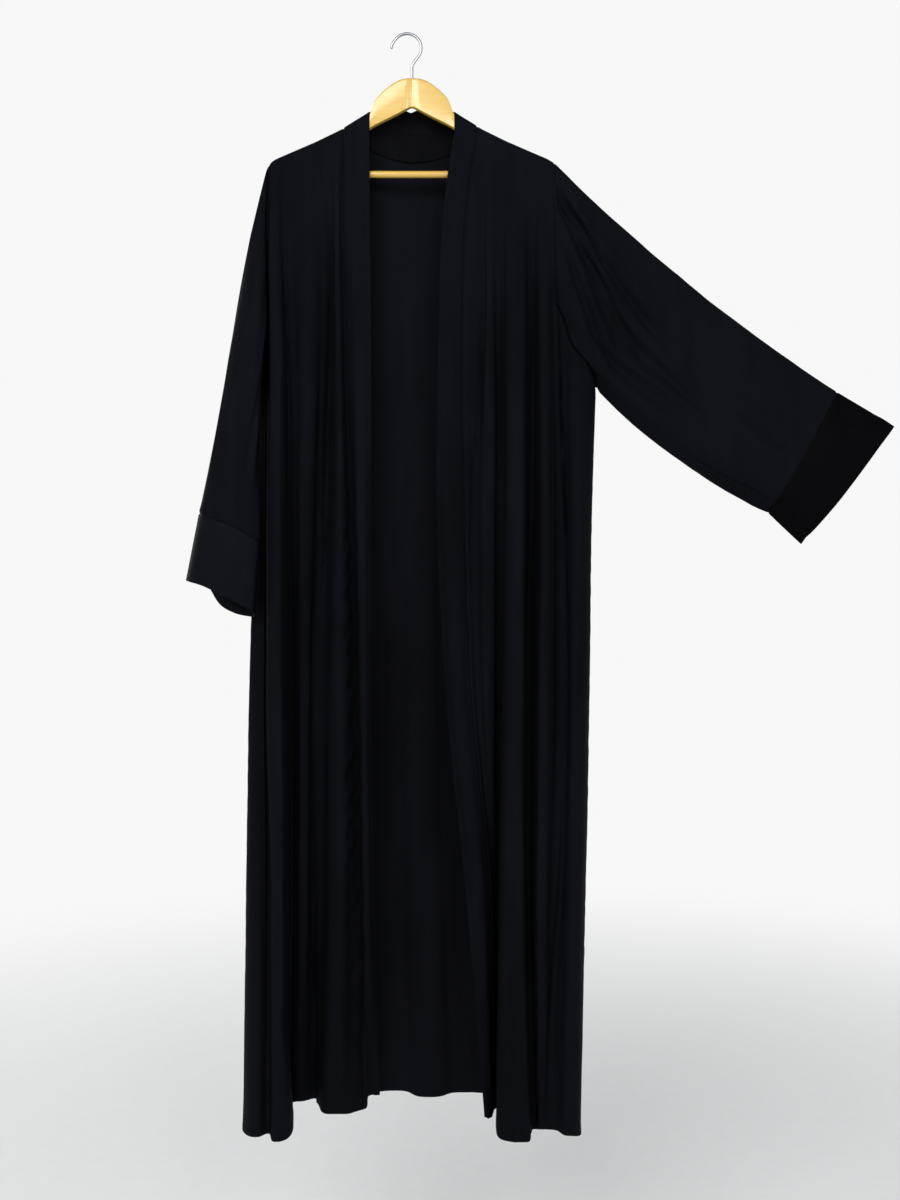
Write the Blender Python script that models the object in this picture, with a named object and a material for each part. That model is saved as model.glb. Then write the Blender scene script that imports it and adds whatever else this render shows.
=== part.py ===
"""A black open-front abaya cloak on a wooden hanger.

Sizes are in millimetres and become metres when a mesh is made. +Z is up, the front of the
garment faces -Y, +X is to the right of someone who looks at that front, and the origin is the
inside top of the hanger's hook. Every panel is a wall of cloth, worked out from the fold tables.
"""

import math
from collections import namedtuple

import bmesh
import bpy
import numpy as np

MM = 0.001
SHARP = math.radians(45)  # an edge that turns more than this is drawn sharp

# Cloth
WALL = 1.5  # crepe with its turned edges
DOUBLED = 2.4  # bands and cuffs, sewn double
SEAM = 0.3  # gap between two pieces at a seam

# Hanger
HANGER_X = 7.3  # the hanger's middle, beside the hook's centre
WOOD_DEPTH = 13.0
WOOD_CORNER = 5.0
ARM_REACH = 214.0
ARM_SWEEP = 6.0  # how far the arms come forward at ARM_REACH
BAR_RADIUS = 5.0
BAR_Z = -204.5
BAR_REACH = 181.0
BAR_SOCKET = 24.0
WIRE_RADIUS = 2.0
HOOK_RADIUS = 20.8
HOOK_Z = -18.8
HOOK_TURN = (176.0, -32.0)  # the wire's way round the circle, in degrees from +X
STEM_TOP_Z = -48.0
STEM_FOOT_Z = -80.0
STEM_SPARE = 11.0  # the stem's hole goes this much deeper
STEM_CUT = 60.0
ROD_SIDES = 14

# Body
ARM_ROUND = 8.5  # how tightly the cloth turns over the hanger
DROP = 90.0  # below the shoulder, where the folds reach their full depth
SPREAD = 60.0  # below the shoulder, where they reach their places in x
NECK_DROP = 45.0  # below the back neck, where they reach their full depth
NECK_FADE = 0.45  # the turn round the neck by which the cloth no longer lies on the wood
BACK_NECK_X = 20.0
BACK_NECK_DEEP = 28.0
BACK_NECK_SEAM_Z = -131.5
BACK_NECK_TOP_Z = -100.5
FACING = 1.0
FACING_DEEP = 45.0
FACING_EDGE = 6.0
FACING_HALF = 78.0
FACING_X = 11.0
FACING_COLUMNS = 15
FACING_DOWN = 0.5
FACING_ROWS = (0.08, 0.28, 0.52, 0.76, 1.0)

BAND_SEAM = 2

# Where the fold tables give a fold's place
LEVELS = (-140.0, -260.0, -450.0, -700.0, -950.0, -1250.0, -1560.0)

# One row for each fold line. turn says how the cloth runs there: on in a fold, back along the
# body's side, or free at an edge. hem is the height where it ends, and then comes its place, (x, y),
# at each of the levels. Each front starts with its band, which ends at BAND_SEAM.
Fold = namedtuple("Fold", "name turn hem top yoke chest waist hip knee foot")

LEFT_FRONT = (
    Fold("edge", "free", -1549,
         (-54, -15), (-53, -15), (-51, -18), (-51, -20), (-51, -20), (-47, -10), (-40, 14)),
    Fold("middle", "fold", -1546,
         (-71, -17), (-70, -17), (-68, -21), (-65, -28), (-62, -30), (-58, -22), (-55, 3)),
    Fold("seam", "fold", -1560,
         (-92, -15), (-92, -15), (-88, -15), (-80, -15), (-73, -15), (-69, -12), (-61, -12)),
    Fold("ridge_1", "fold", -1557,
         (-100, -17), (-100, -18), (-97, -25), (-93, -35), (-94, -40), (-94, -40), (-111, -36)),
    Fold("valley_1", "fold", -1552,
         (-109, -16), (-109, -15), (-113, -10), (-120, -6), (-129, -4), (-135, -2), (-141, 1)),
    Fold("ridge_2", "fold", -1551,
         (-145, -18), (-145, -19), (-142, -23), (-147, -23), (-149, -16), (-151, -10), (-155, -6)),
    Fold("valley_2", "fold", -1554,
         (-177, -17), (-177, -17), (-172, -13), (-167, -8), (-166, -4), (-166, -2), (-170, -2)),
    Fold("ridge_3", "fold", -1575,
         (-187, -18), (-187, -21), (-184, -26), (-183, -36), (-179, -48), (-173, -66), (-171, -84)),
    Fold("ridge_3b", "fold", -1575,
         (-194, -18), (-194, -21), (-193, -27), (-193, -33), (-190, -45), (-182, -64), (-181, -86)),
    Fold("arm_line", "fold", -1571,
         (-201, -17), (-202, -18), (-203, -8), (-207, 5), (-206, -12), (-197, -42), (-192, -70)),
    Fold("flank", "fold", -1570,
         (-210, -10), (-211, -10), (-213, 4), (-217, 13), (-217, -10), (-211, -47), (-207, -82)),
    Fold("side", "side", -1574,
         (-218, 0), (-218, 0), (-221, 16), (-226, 22), (-231, 14), (-232, -6), (-232, -34)),
)
RIGHT_FRONT = (
    Fold("edge", "free", -1556,
         (69, -15), (53, -15), (46, -18), (44, -20), (56, -24), (86, -36), (112, -50)),
    Fold("middle", "fold", -1559,
         (83, -17), (68, -17), (61, -21), (63, -27), (73, -32), (103, -42), (118, -46)),
    Fold("seam", "fold", -1562,
         (102, -15), (86, -15), (81, -17), (84, -21), (93, -25), (121, -27), (124, -24)),
    Fold("valley_1", "fold", -1562,
         (115, -15), (109, -15), (106, -13), (99, -17), (103, -20), (124, -19), (125, -17)),
    Fold("ridge_1", "fold", -1562,
         (124, -16), (119, -17), (119, -21), (115, -27), (116, -28), (127, -12), (127, -9)),
    Fold("valley_2", "fold", -1562,
         (136, -16), (133, -16), (134, -12), (135, -9), (134, -5), (133, -3), (134, 0)),
    Fold("ridge_2", "fold", -1574,
         (153, -18), (152, -19), (151, -26), (151, -37), (148, -49), (142, -66), (138, -84)),
    Fold("ridge_2b", "fold", -1574,
         (163, -18), (163, -20), (163, -28), (164, -39), (162, -51), (162, -69), (170, -88)),
    Fold("valley_3", "fold", -1571,
         (182, -17), (181, -17), (182, -9), (180, -5), (176, -7), (175, -26), (181, -54)),
    Fold("ridge_3", "fold", -1567,
         (197, -18), (196, -21), (198, -26), (200, -35), (195, -41), (189, -53), (190, -64)),
    Fold("arm_line", "fold", -1568,
         (214, -17), (214, -20), (218, -10), (220, -5), (222, -16), (216, -36), (206, -63)),
    Fold("flank", "fold", -1570,
         (232, -15), (232, -15), (247, -14), (248, -26), (245, -38), (239, -56), (228, -78)),
    Fold("side", "side", -1580,
         (282, 0), (282, 0), (277, 0), (269, 0), (265, -4), (258, -14), (248, -40)),
)
BACK = (
    LEFT_FRONT[-1],
    Fold("flank_left", "fold", -1562,
         (-210, 8), (-210, 8), (-212, 24), (-216, 31), (-218, 30), (-214, 28), (-210, 22)),
    Fold("arm_left", "fold", -1558,
         (-201, 4), (-202, 4), (-198, 21), (-196, 24), (-194, 22), (-188, 18), (-180, 14)),
    Fold("fold_1", "fold", -1556,
         (-148, 10), (-148, 11), (-146, 20), (-144, 27), (-141, 33), (-135, 37), (-128, 40)),
    Fold("neck_left", "fold", -1554,
         (-92, 14), (-92, 17), (-90, 21), (-88, 24), (-86, 25), (-80, 26), (-74, 28)),
    Fold("fold_2", "fold", -1555,
         (-36, 22), (-36, 25), (-34, 27), (-32, 30), (-30, 34), (-24, 38), (-18, 43)),
    Fold("middle", "fold", -1560,
         (20, 26), (20, 27), (20, 27), (20, 26), (22, 28), (26, 30), (32, 31)),
    Fold("fold_3", "fold", -1557,
         (61, 22), (61, 25), (62, 26), (64, 30), (67, 33), (72, 37), (80, 42)),
    Fold("neck_right", "fold", -1553,
         (102, 14), (102, 17), (103, 20), (106, 23), (110, 26), (116, 28), (124, 29)),
    Fold("fold_4", "fold", -1554,
         (160, 10), (160, 10), (163, 18), (168, 27), (170, 33), (172, 38), (172, 41)),
    Fold("arm_right", "fold", -1560,
         (214, 4), (214, 4), (220, 12), (222, 18), (220, 20), (216, 20), (210, 18)),
    Fold("flank_right", "fold", -1566,
         (232, 6), (232, 6), (250, 14), (250, 24), (247, 26), (241, 24), (234, 18)),
    RIGHT_FRONT[-1],
)

# The line over the shoulders, from the hanger's middle out: r is the distance from it.
SHOULDER_R = (61.0, 102.0, 138.0, 177.0, 196.0, 208.0, 216.0)
SHOULDER_Z = (-112.0, -138.0, -156.0, -173.5, -182.0, -189.5, -197.0)
# The wood of an arm: top and bottom of its section at r from the hanger's middle, and how much
# thinner than WOOD_DEPTH the section is on either side.
WoodSection = namedtuple("WoodSection", "r top bottom thinner")
WOOD = (
    WoodSection(0.4, -64.2, -105.6, 1.2),
    WoodSection(3.0, -64.2, -107.2, 0.0),
    WoodSection(17.5, -66.3, -115.0, 0.0),
    WoodSection(29.0, -72.6, -121.0, 0.0),
    WoodSection(42.3, -83.5, -127.5, 0.0),
    WoodSection(52.0, -93.5, -132.5, 0.0),
    WoodSection(56.5, -103.0, -135.0, 0.0),
    WoodSection(59.0, -115.0, -137.0, 0.0),
    WoodSection(80.0, -128.0, -146.5, 0.0),
    WoodSection(102.0, -141.5, -158.0, 0.0),
    WoodSection(138.0, -159.2, -180.0, 0.0),
    WoodSection(165.0, -171.4, -201.0, 0.0),
    WoodSection(182.0, -179.2, -213.0, 0.0),
    WoodSection(196.0, -186.0, -214.0, 0.0),
    WoodSection(204.0, -193.0, -206.0, 2.5),
)

# Rows of the body: the turn over the shoulder in degrees, then shares of the way down.
NECK_TURNS = (1.0, 0.84, 0.68, 0.53, 0.39, 0.26, 0.15, 0.07, 0.0)
TURN_ROWS = (0.0, 35.0, 68.0)
DOWN_ROWS = (0.0, 0.02, 0.05, 0.09, 0.142, 0.2, 0.27, 0.345, 0.425, 0.51, 0.6, 0.69, 0.78, 0.87, 0.94, 1.0)
ARMPIT_ROW = len(TURN_ROWS) + DOWN_ROWS.index(0.142)
UNDERARM_Z = -515.0
ARMHOLE_BEND = 0.8  # 1 is straight from the arm line to the side seam; less hollows it out

# Sleeves. An end is the outer and inner corner of a ring of cloth; a ring's shape gives how far
# across it each point lies (0 at the outer corner, 1 at the inner), how far it stands out in y and
# how much lower than the line between the corners it hangs, at the cuff's seam and at its hem.
SleeveEnd = namedtuple("SleeveEnd", "outer inner")
LEFT_SEAM_END = SleeveEnd((-301, -8, -697), (-210, -14, -738))
LEFT_CUFF_END = SleeveEnd((-320, -8, -795), (-217, -14, -839))
RIGHT_SEAM_END = SleeveEnd((623, -8, -522), (528, -8, -689))
RIGHT_CUFF_END = SleeveEnd((706, -8, -571), (577, -8, -734))
RingPoint = namedtuple("RingPoint", "across y drop hem")
LEFT_RING_FRONT = (
    RingPoint(0.0, 2, 0, 0),
    RingPoint(0.10, -21, 0, -2),
    RingPoint(0.30, -33, -1, -5),
    RingPoint(0.55, -37, -3, -4),
    RingPoint(0.82, -36, -1, -2),
    RingPoint(0.97, -30, 0, 1),
    RingPoint(1.0, -22, 0, 4),
)
LEFT_RING_BACK = (
    RingPoint(1.0, -22, 0, 4),
    RingPoint(0.99, -13, 1, 8),
    RingPoint(0.90, -6, 4, 12),
    RingPoint(0.70, -8, 8, 16),
    RingPoint(0.47, 3, 10, 13),
    RingPoint(0.24, 19, 8, -8),
    RingPoint(0.06, 17, 3, -4),
    RingPoint(0.0, 2, 0, 0),
)
RIGHT_RING_FRONT = (
    RingPoint(0.0, 0, 0, 0),
    RingPoint(0.03, -9, 0, 0),
    RingPoint(0.20, -15, 0, 0),
    RingPoint(0.45, -22, 1, 1),
    RingPoint(0.70, -25, 1, 1),
    RingPoint(0.92, -16, 0, 0),
    RingPoint(1.0, 0, 0, 0),
)
RIGHT_RING_BACK = (
    RingPoint(1.0, 0, 0, 0),
    RingPoint(1.01, 10, 5, 5),
    RingPoint(0.90, 19, 6, 6),
    RingPoint(0.70, 22, 4, 4),
    RingPoint(0.45, 17, 2, 2),
    RingPoint(0.20, 12, 1, 1),
    RingPoint(0.03, 8, 0, 0),
    RingPoint(0.0, 0, 0, 0),
)

# Long soft folds in a sleeve, from the armhole: where each crosses the front of the sleeve (0 at
# its top, 1 under the arm) at the start, at its bend and at its end, and its depth and half width.
SleeveFold = namedtuple("SleeveFold", "name start bend bend_at end fades_at depth half_width")
RIGHT_SLEEVE_FOLDS = (
    SleeveFold("first", 0.09, 0.50, 0.24, 0.54, 0.95, 12.0, 0.12),
    SleeveFold("second", 0.24, 0.66, 0.20, 0.74, 0.70, 8.0, 0.09),
)
RIGHT_SLEEVE_BACK_FOLDS = (
    SleeveFold("first", 0.12, 0.46, 0.25, 0.50, 0.90, 8.0, 0.13),
    SleeveFold("second", 0.30, 0.70, 0.22, 0.78, 0.65, 6.0, 0.10),
)
LEFT_SLEEVE_FOLDS = (SleeveFold("first", 0.55, 0.64, 0.45, 0.68, 1.0, 5.0, 0.12),)
FOLD_GROWS = 0.08  # the share of the sleeve over which a fold reaches its depth
FOLD_HOLDS = 0.3  # the share of its length by which it starts to fade

SLEEVE_ROWS = (0.0, 0.04, 0.1, 0.18, 0.28, 0.4, 0.52, 0.64, 0.76, 0.88, 1.0)
CUFF_ROWS = (0.0, 0.5, 1.0)


# ---------------------------------------------------------------- curves


def through(places, values, where):
    """A smooth curve through values at places, read at where. Outside the places it stays level."""
    places = np.asarray(places, float)
    values = np.asarray(values, float)
    where = np.clip(np.asarray(where, float), places[0], places[-1])
    slopes = np.gradient(values, places, axis=0)
    index = np.clip(np.searchsorted(places, where, side="right") - 1, 0, len(places) - 2)
    span = places[index + 1] - places[index]
    t = (where - places[index]) / span
    if values.ndim > 1:
        t = t[..., None]
        span = span[..., None]
    return hermite(values[index], slopes[index] * span, values[index + 1], slopes[index + 1] * span, t)


def hermite(start, start_pull, end, end_pull, t):
    return (
        (1 + 2 * t) * (1 - t) ** 2 * start
        + t * (1 - t) ** 2 * start_pull
        + t**2 * (3 - 2 * t) * end
        + t**2 * (t - 1) * end_pull
    )


def ease(t):
    t = np.clip(t, 0.0, 1.0)
    return t * t * (3 - 2 * t)


def unit(vectors):
    return vectors / np.linalg.norm(vectors, axis=-1, keepdims=True)


EDGE_STEP = 0.005  # a normal at an edge is taken this far inside it


def normals_of(surface, first, second, step=0.8 * EDGE_STEP):
    """Unit normals of surface(first, second), from points just beside each one."""
    along_first = surface(first + step, second) - surface(first - step, second)
    along_second = surface(first, second + step) - surface(first, second - step)
    return unit(np.cross(along_first, along_second))


# ---------------------------------------------------------------- the body's surface

PLAIN_PULL = 1.9  # over 1, so that a fold is rounder than a zigzag
CORNER_PULL = 1.6


def fold_places(folds, z):
    """Where each fold line lies at height z: folds × points × (x, y)."""
    levels = np.array(LEVELS[::-1])
    return np.array([through(levels, np.array(f[3:][::-1], float), z) for f in folds])


def fold_headings(folds, places):
    """Which way the cloth runs at each fold line: straight across at a ridge or a valley, straight
    back at the body's side, and on between its neighbours elsewhere."""
    steps = np.diff(places, axis=0)
    headings = np.empty_like(places)
    headings[0], headings[-1] = steps[0], steps[-1]
    before, after = steps[:-1], steps[1:]
    product = np.clip(before[..., 1] * after[..., 1], 0, None)
    total = before[..., 1] + after[..., 1]
    headings[1:-1, :, 0] = before[..., 0] + after[..., 0]
    headings[1:-1, :, 1] = 4 * product / np.where(np.abs(total) > 1e-6, total, 1.0)
    for i, fold in enumerate(folds):
        if fold.turn == "side":
            headings[i] = (0.0, 1.0)
    return unit(headings)


def fold_ring(folds, s, z):
    """(x, y) on the line round the body at height z. s counts the fold lines, from 0."""
    s, z = np.broadcast_arrays(np.asarray(s, float), np.asarray(z, float))
    places = fold_places(folds, z.ravel())
    headings = fold_headings(folds, places)
    index = np.clip(np.floor(s.ravel()).astype(int), 0, len(folds) - 2)
    t = (s.ravel() - index)[:, None]
    here = np.arange(z.size)
    start, end = places[index, here], places[index + 1, here]
    corner = np.array([fold.turn == "side" for fold in folds])
    strength = np.where(corner[index] | corner[index + 1], CORNER_PULL, PLAIN_PULL)[:, None]
    pulls = []
    for heading in (headings[index, here], headings[index + 1, here]):
        reach = ((end - start) * heading).sum(-1, keepdims=True)
        pulls.append(strength * reach * heading)
    return hermite(start, pulls[0], end, pulls[1], t).reshape(*s.shape, 2)


def shoulder_z(r):
    """Height of the middle of the cloth on the shoulder line, at r from the hanger's middle."""
    return np.interp(r, SHOULDER_R, SHOULDER_Z) - WALL / 2


def arm_y(r):
    return -ARM_SWEEP * (np.abs(r) / ARM_REACH) ** 2


def neck_point(side, turn, share):
    """A point of the band behind the neck. side is -1 or 1, turn runs from 0 on the shoulder to 1
    at the middle of the back, and share from 0 at the band's free edge to 1 at its seam."""
    folds = LEFT_FRONT if side < 0 else RIGHT_FRONT
    angle = np.asarray(turn, float) * math.pi / 2
    rise = np.sin(angle)
    edge_x = shoulder_x(folds, 0.0)
    seam_x = shoulder_x(folds, BAND_SEAM)
    edge_r = abs(edge_x - HANGER_X)
    seam_r = abs(seam_x - HANGER_X)
    edge = np.stack(
        [
            BACK_NECK_X + (edge_x - BACK_NECK_X) * np.cos(angle),
            arm_y(edge_r) + (BACK_NECK_DEEP - 2) * rise,
            shoulder_z(edge_r) + (BACK_NECK_TOP_Z - shoulder_z(edge_r)) * rise,
        ],
        -1,
    )
    seam = np.stack(
        [
            BACK_NECK_X + (seam_x - BACK_NECK_X) * np.cos(angle),
            arm_y(seam_r) + BACK_NECK_DEEP * rise,
            shoulder_z(seam_r) + (BACK_NECK_SEAM_Z - shoulder_z(seam_r)) * (1 - (1 - rise) ** 3),
        ],
        -1,
    )
    share = np.asarray(share, float)[..., None]
    return edge + (seam - edge) * share


def shoulder_x(folds, s):
    """x of the body's line at the shoulder, where its cloth hangs straight down from."""
    return float(fold_ring(folds, s, LEVELS[0])[..., 0])


def neck_turn(side, x):
    """How far round the back of the neck the band's seam is at x."""
    folds = LEFT_FRONT if side < 0 else RIGHT_FRONT
    seam_x = shoulder_x(folds, BAND_SEAM)
    return np.arccos(np.clip((x - BACK_NECK_X) / (seam_x - BACK_NECK_X), 0, 1)) / (math.pi / 2)


def neck_normal(side, turn):
    return normals_of(lambda a, b: neck_point(side, a, b), np.asarray(turn, float), np.asarray(1.0))


Top = namedtuple("Top", "x y z bulge drop")


def top_of(folds, s, face):
    """Where the cloth at s starts, how far it turns over the wood in y, and how far down it takes
    to reach its full folds."""
    x = fold_ring(folds, s, LEVELS[0])[..., 0]
    r = np.abs(x - HANGER_X)
    y = arm_y(r)
    z = shoulder_z(r)
    bulge = np.full_like(x, ARM_ROUND)
    drop = np.full_like(x, DROP)
    if face > 0:
        for side in (-1, 1):
            turn = neck_turn(side, x)
            behind = (turn > 0) & ((x - BACK_NECK_X) * side >= 0)
            neck = neck_point(side, turn, np.ones_like(x))
            fade = ease(turn / NECK_FADE)
            y = np.where(behind, neck[..., 1], y)
            z = np.where(behind, neck[..., 2], z)
            bulge = np.where(behind, ARM_ROUND * (1 - fade), bulge)
            drop = np.where(behind, DROP + (NECK_DROP - DROP) * fade, drop)
    return Top(x, y, z, bulge, drop)


def body_point(folds, face, s, row, floor_z=None):
    """A point of the body's cloth. face is -1 on the front and 1 on the back; row counts
    TURN_ROWS from 0 to 3, and from there on it is 3 plus the share of the way down."""
    s, row = np.broadcast_arrays(np.asarray(s, float), np.asarray(row, float))
    top = top_of(folds, s, face)
    turns = len(TURN_ROWS)
    angle = np.radians(np.interp(row, range(turns + 1), TURN_ROWS + (90.0,)))
    down = np.clip(row - turns, 0, None)
    turned_z = top.z - ARM_ROUND
    start = turned_z if floor_z is None else np.where(np.isnan(floor_z), turned_z, floor_z)
    on_turn = row < turns
    z = np.where(on_turn, top.z - ARM_ROUND * (1 - np.cos(angle)), start + (hem_z(folds, s) - start) * down)
    ring = fold_ring(folds, s, z)
    x = top.x + (ring[..., 0] - top.x) * ease((top.z - z) / SPREAD)
    hanging = top.y + face * top.bulge
    folded = hanging + (ring[..., 1] - hanging) * ease((turned_z - z) / top.drop)
    y = np.where(on_turn, top.y + face * top.bulge * np.sin(angle), folded)
    return np.stack([x, y, z], -1)


def hem_z(folds, s):
    """Height of the hem at s, eased between the fold lines."""
    s = np.asarray(s, float)
    index = np.clip(np.floor(s).astype(int), 0, len(folds) - 2)
    hems = np.array([f.hem for f in folds])
    return hems[index] + (hems[index + 1] - hems[index]) * ease(s - index)


# ---------------------------------------------------------------- walls of cloth


RIM_WAY = np.array((0.36, 0.48, 0.8))  # two rims at a seam are split alike, both by this direction


def wall(name, points, normals, thickness, cloth, present=None, ring=False):
    """One closed body: the grid of points thickened both ways along its normals. present says
    which cells hold cloth, and ring joins the last column to the first."""
    rows, columns = points.shape[:2]
    cells_across = columns if ring else columns - 1
    if present is None:
        present = np.ones((rows - 1, cells_across), bool)
    sides = [points + normals * (thickness / 2), points - normals * (thickness / 2)]
    vertices = np.concatenate([side.reshape(-1, 3) for side in sides])
    flat = points.reshape(-1, 3)
    behind = rows * columns
    faces = []
    edges = {}
    for j in range(rows - 1):
        for i in range(cells_across):
            if not present[j, i]:
                continue
            right = (i + 1) % columns
            a, b = j * columns + i, j * columns + right
            c, d = (j + 1) * columns + right, (j + 1) * columns + i
            if np.linalg.norm(flat[a] - flat[c]) <= np.linalg.norm(flat[b] - flat[d]):
                cell = [(a, b, c), (a, c, d)]
            else:
                cell = [(a, b, d), (b, c, d)]
            for triangle in cell:
                faces.append(triangle)
                faces.append(tuple(behind + v for v in reversed(triangle)))
            for edge in ((a, b), (b, c), (c, d), (d, a)):
                edges[edge] = True
    for start, end in edges:
        if (end, start) in edges:
            continue
        if (flat[end] - flat[start]) @ RIM_WAY > 0:
            faces.append((end, start, behind + end))
            faces.append((start, behind + start, behind + end))
        else:
            faces.append((end, start, behind + start))
            faces.append((end, behind + start, behind + end))
    return mesh_object(name, vertices, faces, cloth)


def mesh_object(name, vertices, faces, surface):
    used = sorted({v for face in faces for v in face})
    place = {v: i for i, v in enumerate(used)}
    mesh = bpy.data.meshes.new(name)
    mesh.from_pydata([tuple(vertices[v] * MM) for v in used], [], [tuple(place[v] for v in f) for f in faces])
    work = bmesh.new()
    work.from_mesh(mesh)
    bmesh.ops.recalc_face_normals(work, faces=work.faces[:])
    if work.calc_volume(signed=True) < 0:
        bmesh.ops.reverse_faces(work, faces=work.faces[:])
    work.to_mesh(mesh)
    work.free()
    mesh.shade_smooth()
    mesh.set_sharp_from_angle(angle=SHARP)
    mesh.materials.append(surface)
    part = bpy.data.objects.new(name, mesh)
    bpy.context.scene.collection.objects.link(part)
    return part


FOLD_STEPS = (0.0, 0.22, 0.78)  # columns bunch at a fold's ridge and valley, which keeps them round


def columns_of(folds):
    """s of every column between the fold lines."""
    found = [index + step for index in range(len(folds) - 1) for step in FOLD_STEPS]
    return np.array(found + [len(folds) - 1.0])


ROWS = np.array([float(i) for i in range(len(TURN_ROWS))] + [len(TURN_ROWS) + d for d in DOWN_ROWS])


def armhole_floor(folds, s, first, last):
    """Height where the column at s starts: NaN inside the arm line, else on the armhole's curve,
    which runs from the arm line (first) out to the side seam (last)."""
    face = -1 if folds is not BACK else 1
    corner = body_point(folds, face, float(first), ROWS[ARMPIT_ROW])[2]
    share = (s - first) / (last - first)
    return np.where(share > 0, corner + (UNDERARM_Z - corner) * np.clip(share, 0, 1) ** ARMHOLE_BEND, np.nan)


def body_grid(folds, face, s, arm_lines):
    """Points, normals and cells of a panel, and the columns of its arm lines. arm_lines gives
    (arm line, side seam) for each armhole of the panel."""
    row_grid, s_grid = np.meshgrid(ROWS, s, indexing="ij")
    outside = np.zeros(s.shape, bool)
    floor_z = np.full(s.shape, np.nan)
    for arm, side in arm_lines:
        beyond = (s - arm) * np.sign(side - arm) > 1e-6
        outside |= beyond
        floor_z = np.where(beyond, armhole_floor(folds, s, arm, side), floor_z)
    armpit_share = ROWS[ARMPIT_ROW] - len(TURN_ROWS)
    shares = np.clip(row_grid - len(TURN_ROWS) - armpit_share, 0, None) / (1 - armpit_share)
    outer_rows = len(TURN_ROWS) + shares
    use_rows = np.where(outside[None, :], outer_rows, row_grid)
    floor_grid = np.where(outside[None, :], floor_z[None, :], np.nan)

    def surface(a, b):
        return body_point(folds, face, a, b, floor_grid)

    inside_s = np.clip(s_grid, EDGE_STEP, len(folds) - 1 - EDGE_STEP)
    points = surface(s_grid, use_rows)
    normals = normals_of(surface, inside_s, np.maximum(use_rows, EDGE_STEP))
    present = np.ones((len(ROWS) - 1, len(s) - 1), bool)
    cell_outside = outside[:-1] | outside[1:]
    present[:ARMPIT_ROW, cell_outside] = False
    return points, normals, present


def shoulder_normals(points, normals, row=0):
    """Along the shoulder seam a wall stands square to the slope of the shoulder."""
    slope = np.gradient(points[row], axis=0)
    slope[:, 1] = 0
    up = np.stack([-slope[:, 2], np.zeros(len(slope)), slope[:, 0]], -1)
    normals[row] = unit(up * np.sign(up[:, 2:3]))


def same_way(normals, reference):
    """Turns a grid of normals to the side of the wall that reference points to."""
    return normals * (-1.0 if (normals * reference).sum() < 0 else 1.0)


class Panel:
    """A piece of cloth as a grid, before it is thickened into a wall."""

    def __init__(self, name, points, normals, thickness, cloth, present=None, ring=False):
        self.name = name
        self.points = points
        self.normals = normals
        self.thickness = thickness
        self.cloth = cloth
        self.present = present
        self.ring = ring
        self.moves = []

    def seam(self, edge, inside):
        """Says that one line of the grid is sewn to another piece; inside is the line beside it."""
        line = self.points[edge]
        along = unit(np.gradient(line, axis=-2))
        inward = self.points[inside] - line
        inward = inward - (inward * along).sum(-1, keepdims=True) * along
        self.moves.append((edge, unit(inward) * (SEAM / 2)))

    def build(self):
        for edge, move in self.moves:
            self.points[edge] += move
        wall(self.name, self.points, self.normals, self.thickness, self.cloth, self.present, self.ring)


Hole = namedtuple("Hole", "panel edge inside")


def armhole(panel, arm_column, side_column):
    """A panel's edge round the armhole, from the shoulder to the side seam, and the line inside it."""
    step = 1 if side_column > arm_column else -1
    edge = [(row, arm_column) for row in range(ARMPIT_ROW)]
    inside = [(row, arm_column - step) for row in range(ARMPIT_ROW)]
    edge += [(ARMPIT_ROW, column) for column in range(arm_column, side_column + step, step)]
    inside += [(ARMPIT_ROW + 1, column) for column in range(arm_column, side_column + step, step)]
    return Hole(panel, tuple(np.array(edge).T), tuple(np.array(inside).T))


def nearest(values, wanted):
    return int(np.argmin(np.abs(values - wanted)))


LOWER = slice(ARMPIT_ROW, None)


def make_front(name, side, cloth):
    """A front panel and its armhole."""
    folds = LEFT_FRONT if side < 0 else RIGHT_FRONT
    s = columns_of(folds)
    s = s[s >= BAND_SEAM]
    last = len(folds) - 1
    points, normals, present = body_grid(folds, -1, s, [(last - 2, last)])
    normals = same_way(normals, np.array([side * 0.2, -1.0, 0.3]))
    shoulder_normals(points, normals)
    arm = nearest(s, last - 2)
    panel = Panel(name, points, normals, WALL, cloth, present)
    panel.seam((slice(None), 0), (slice(None), 1))
    panel.seam((LOWER, -1), (LOWER, -2))
    panel.seam((0, slice(0, arm + 1)), (1, slice(0, arm + 1)))
    return panel, armhole(panel, arm, len(s) - 1)


NECK_FOLDS = (4, 8)  # the back's fold lines on either side of the neck


def back_s(x):
    """s on the back's top edge at x."""
    fine = np.linspace(NECK_FOLDS[0] - 1, NECK_FOLDS[1] + 1, 6001)
    return np.interp(x, top_of(BACK, fine, 1).x, fine)


def back_columns():
    """s of the back's columns. Behind the neck they stand where the bands' rows meet them."""
    even = columns_of(BACK)
    first, last = NECK_FOLDS
    outside = even[(even < first - 1e-6) | (even > last + 1e-6)]
    behind = {float(neck_point(side, turn, 1.0)[0]) for side in (-1, 1) for turn in NECK_TURNS}
    return np.sort(np.concatenate([outside, back_s(sorted(behind))]))


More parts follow.
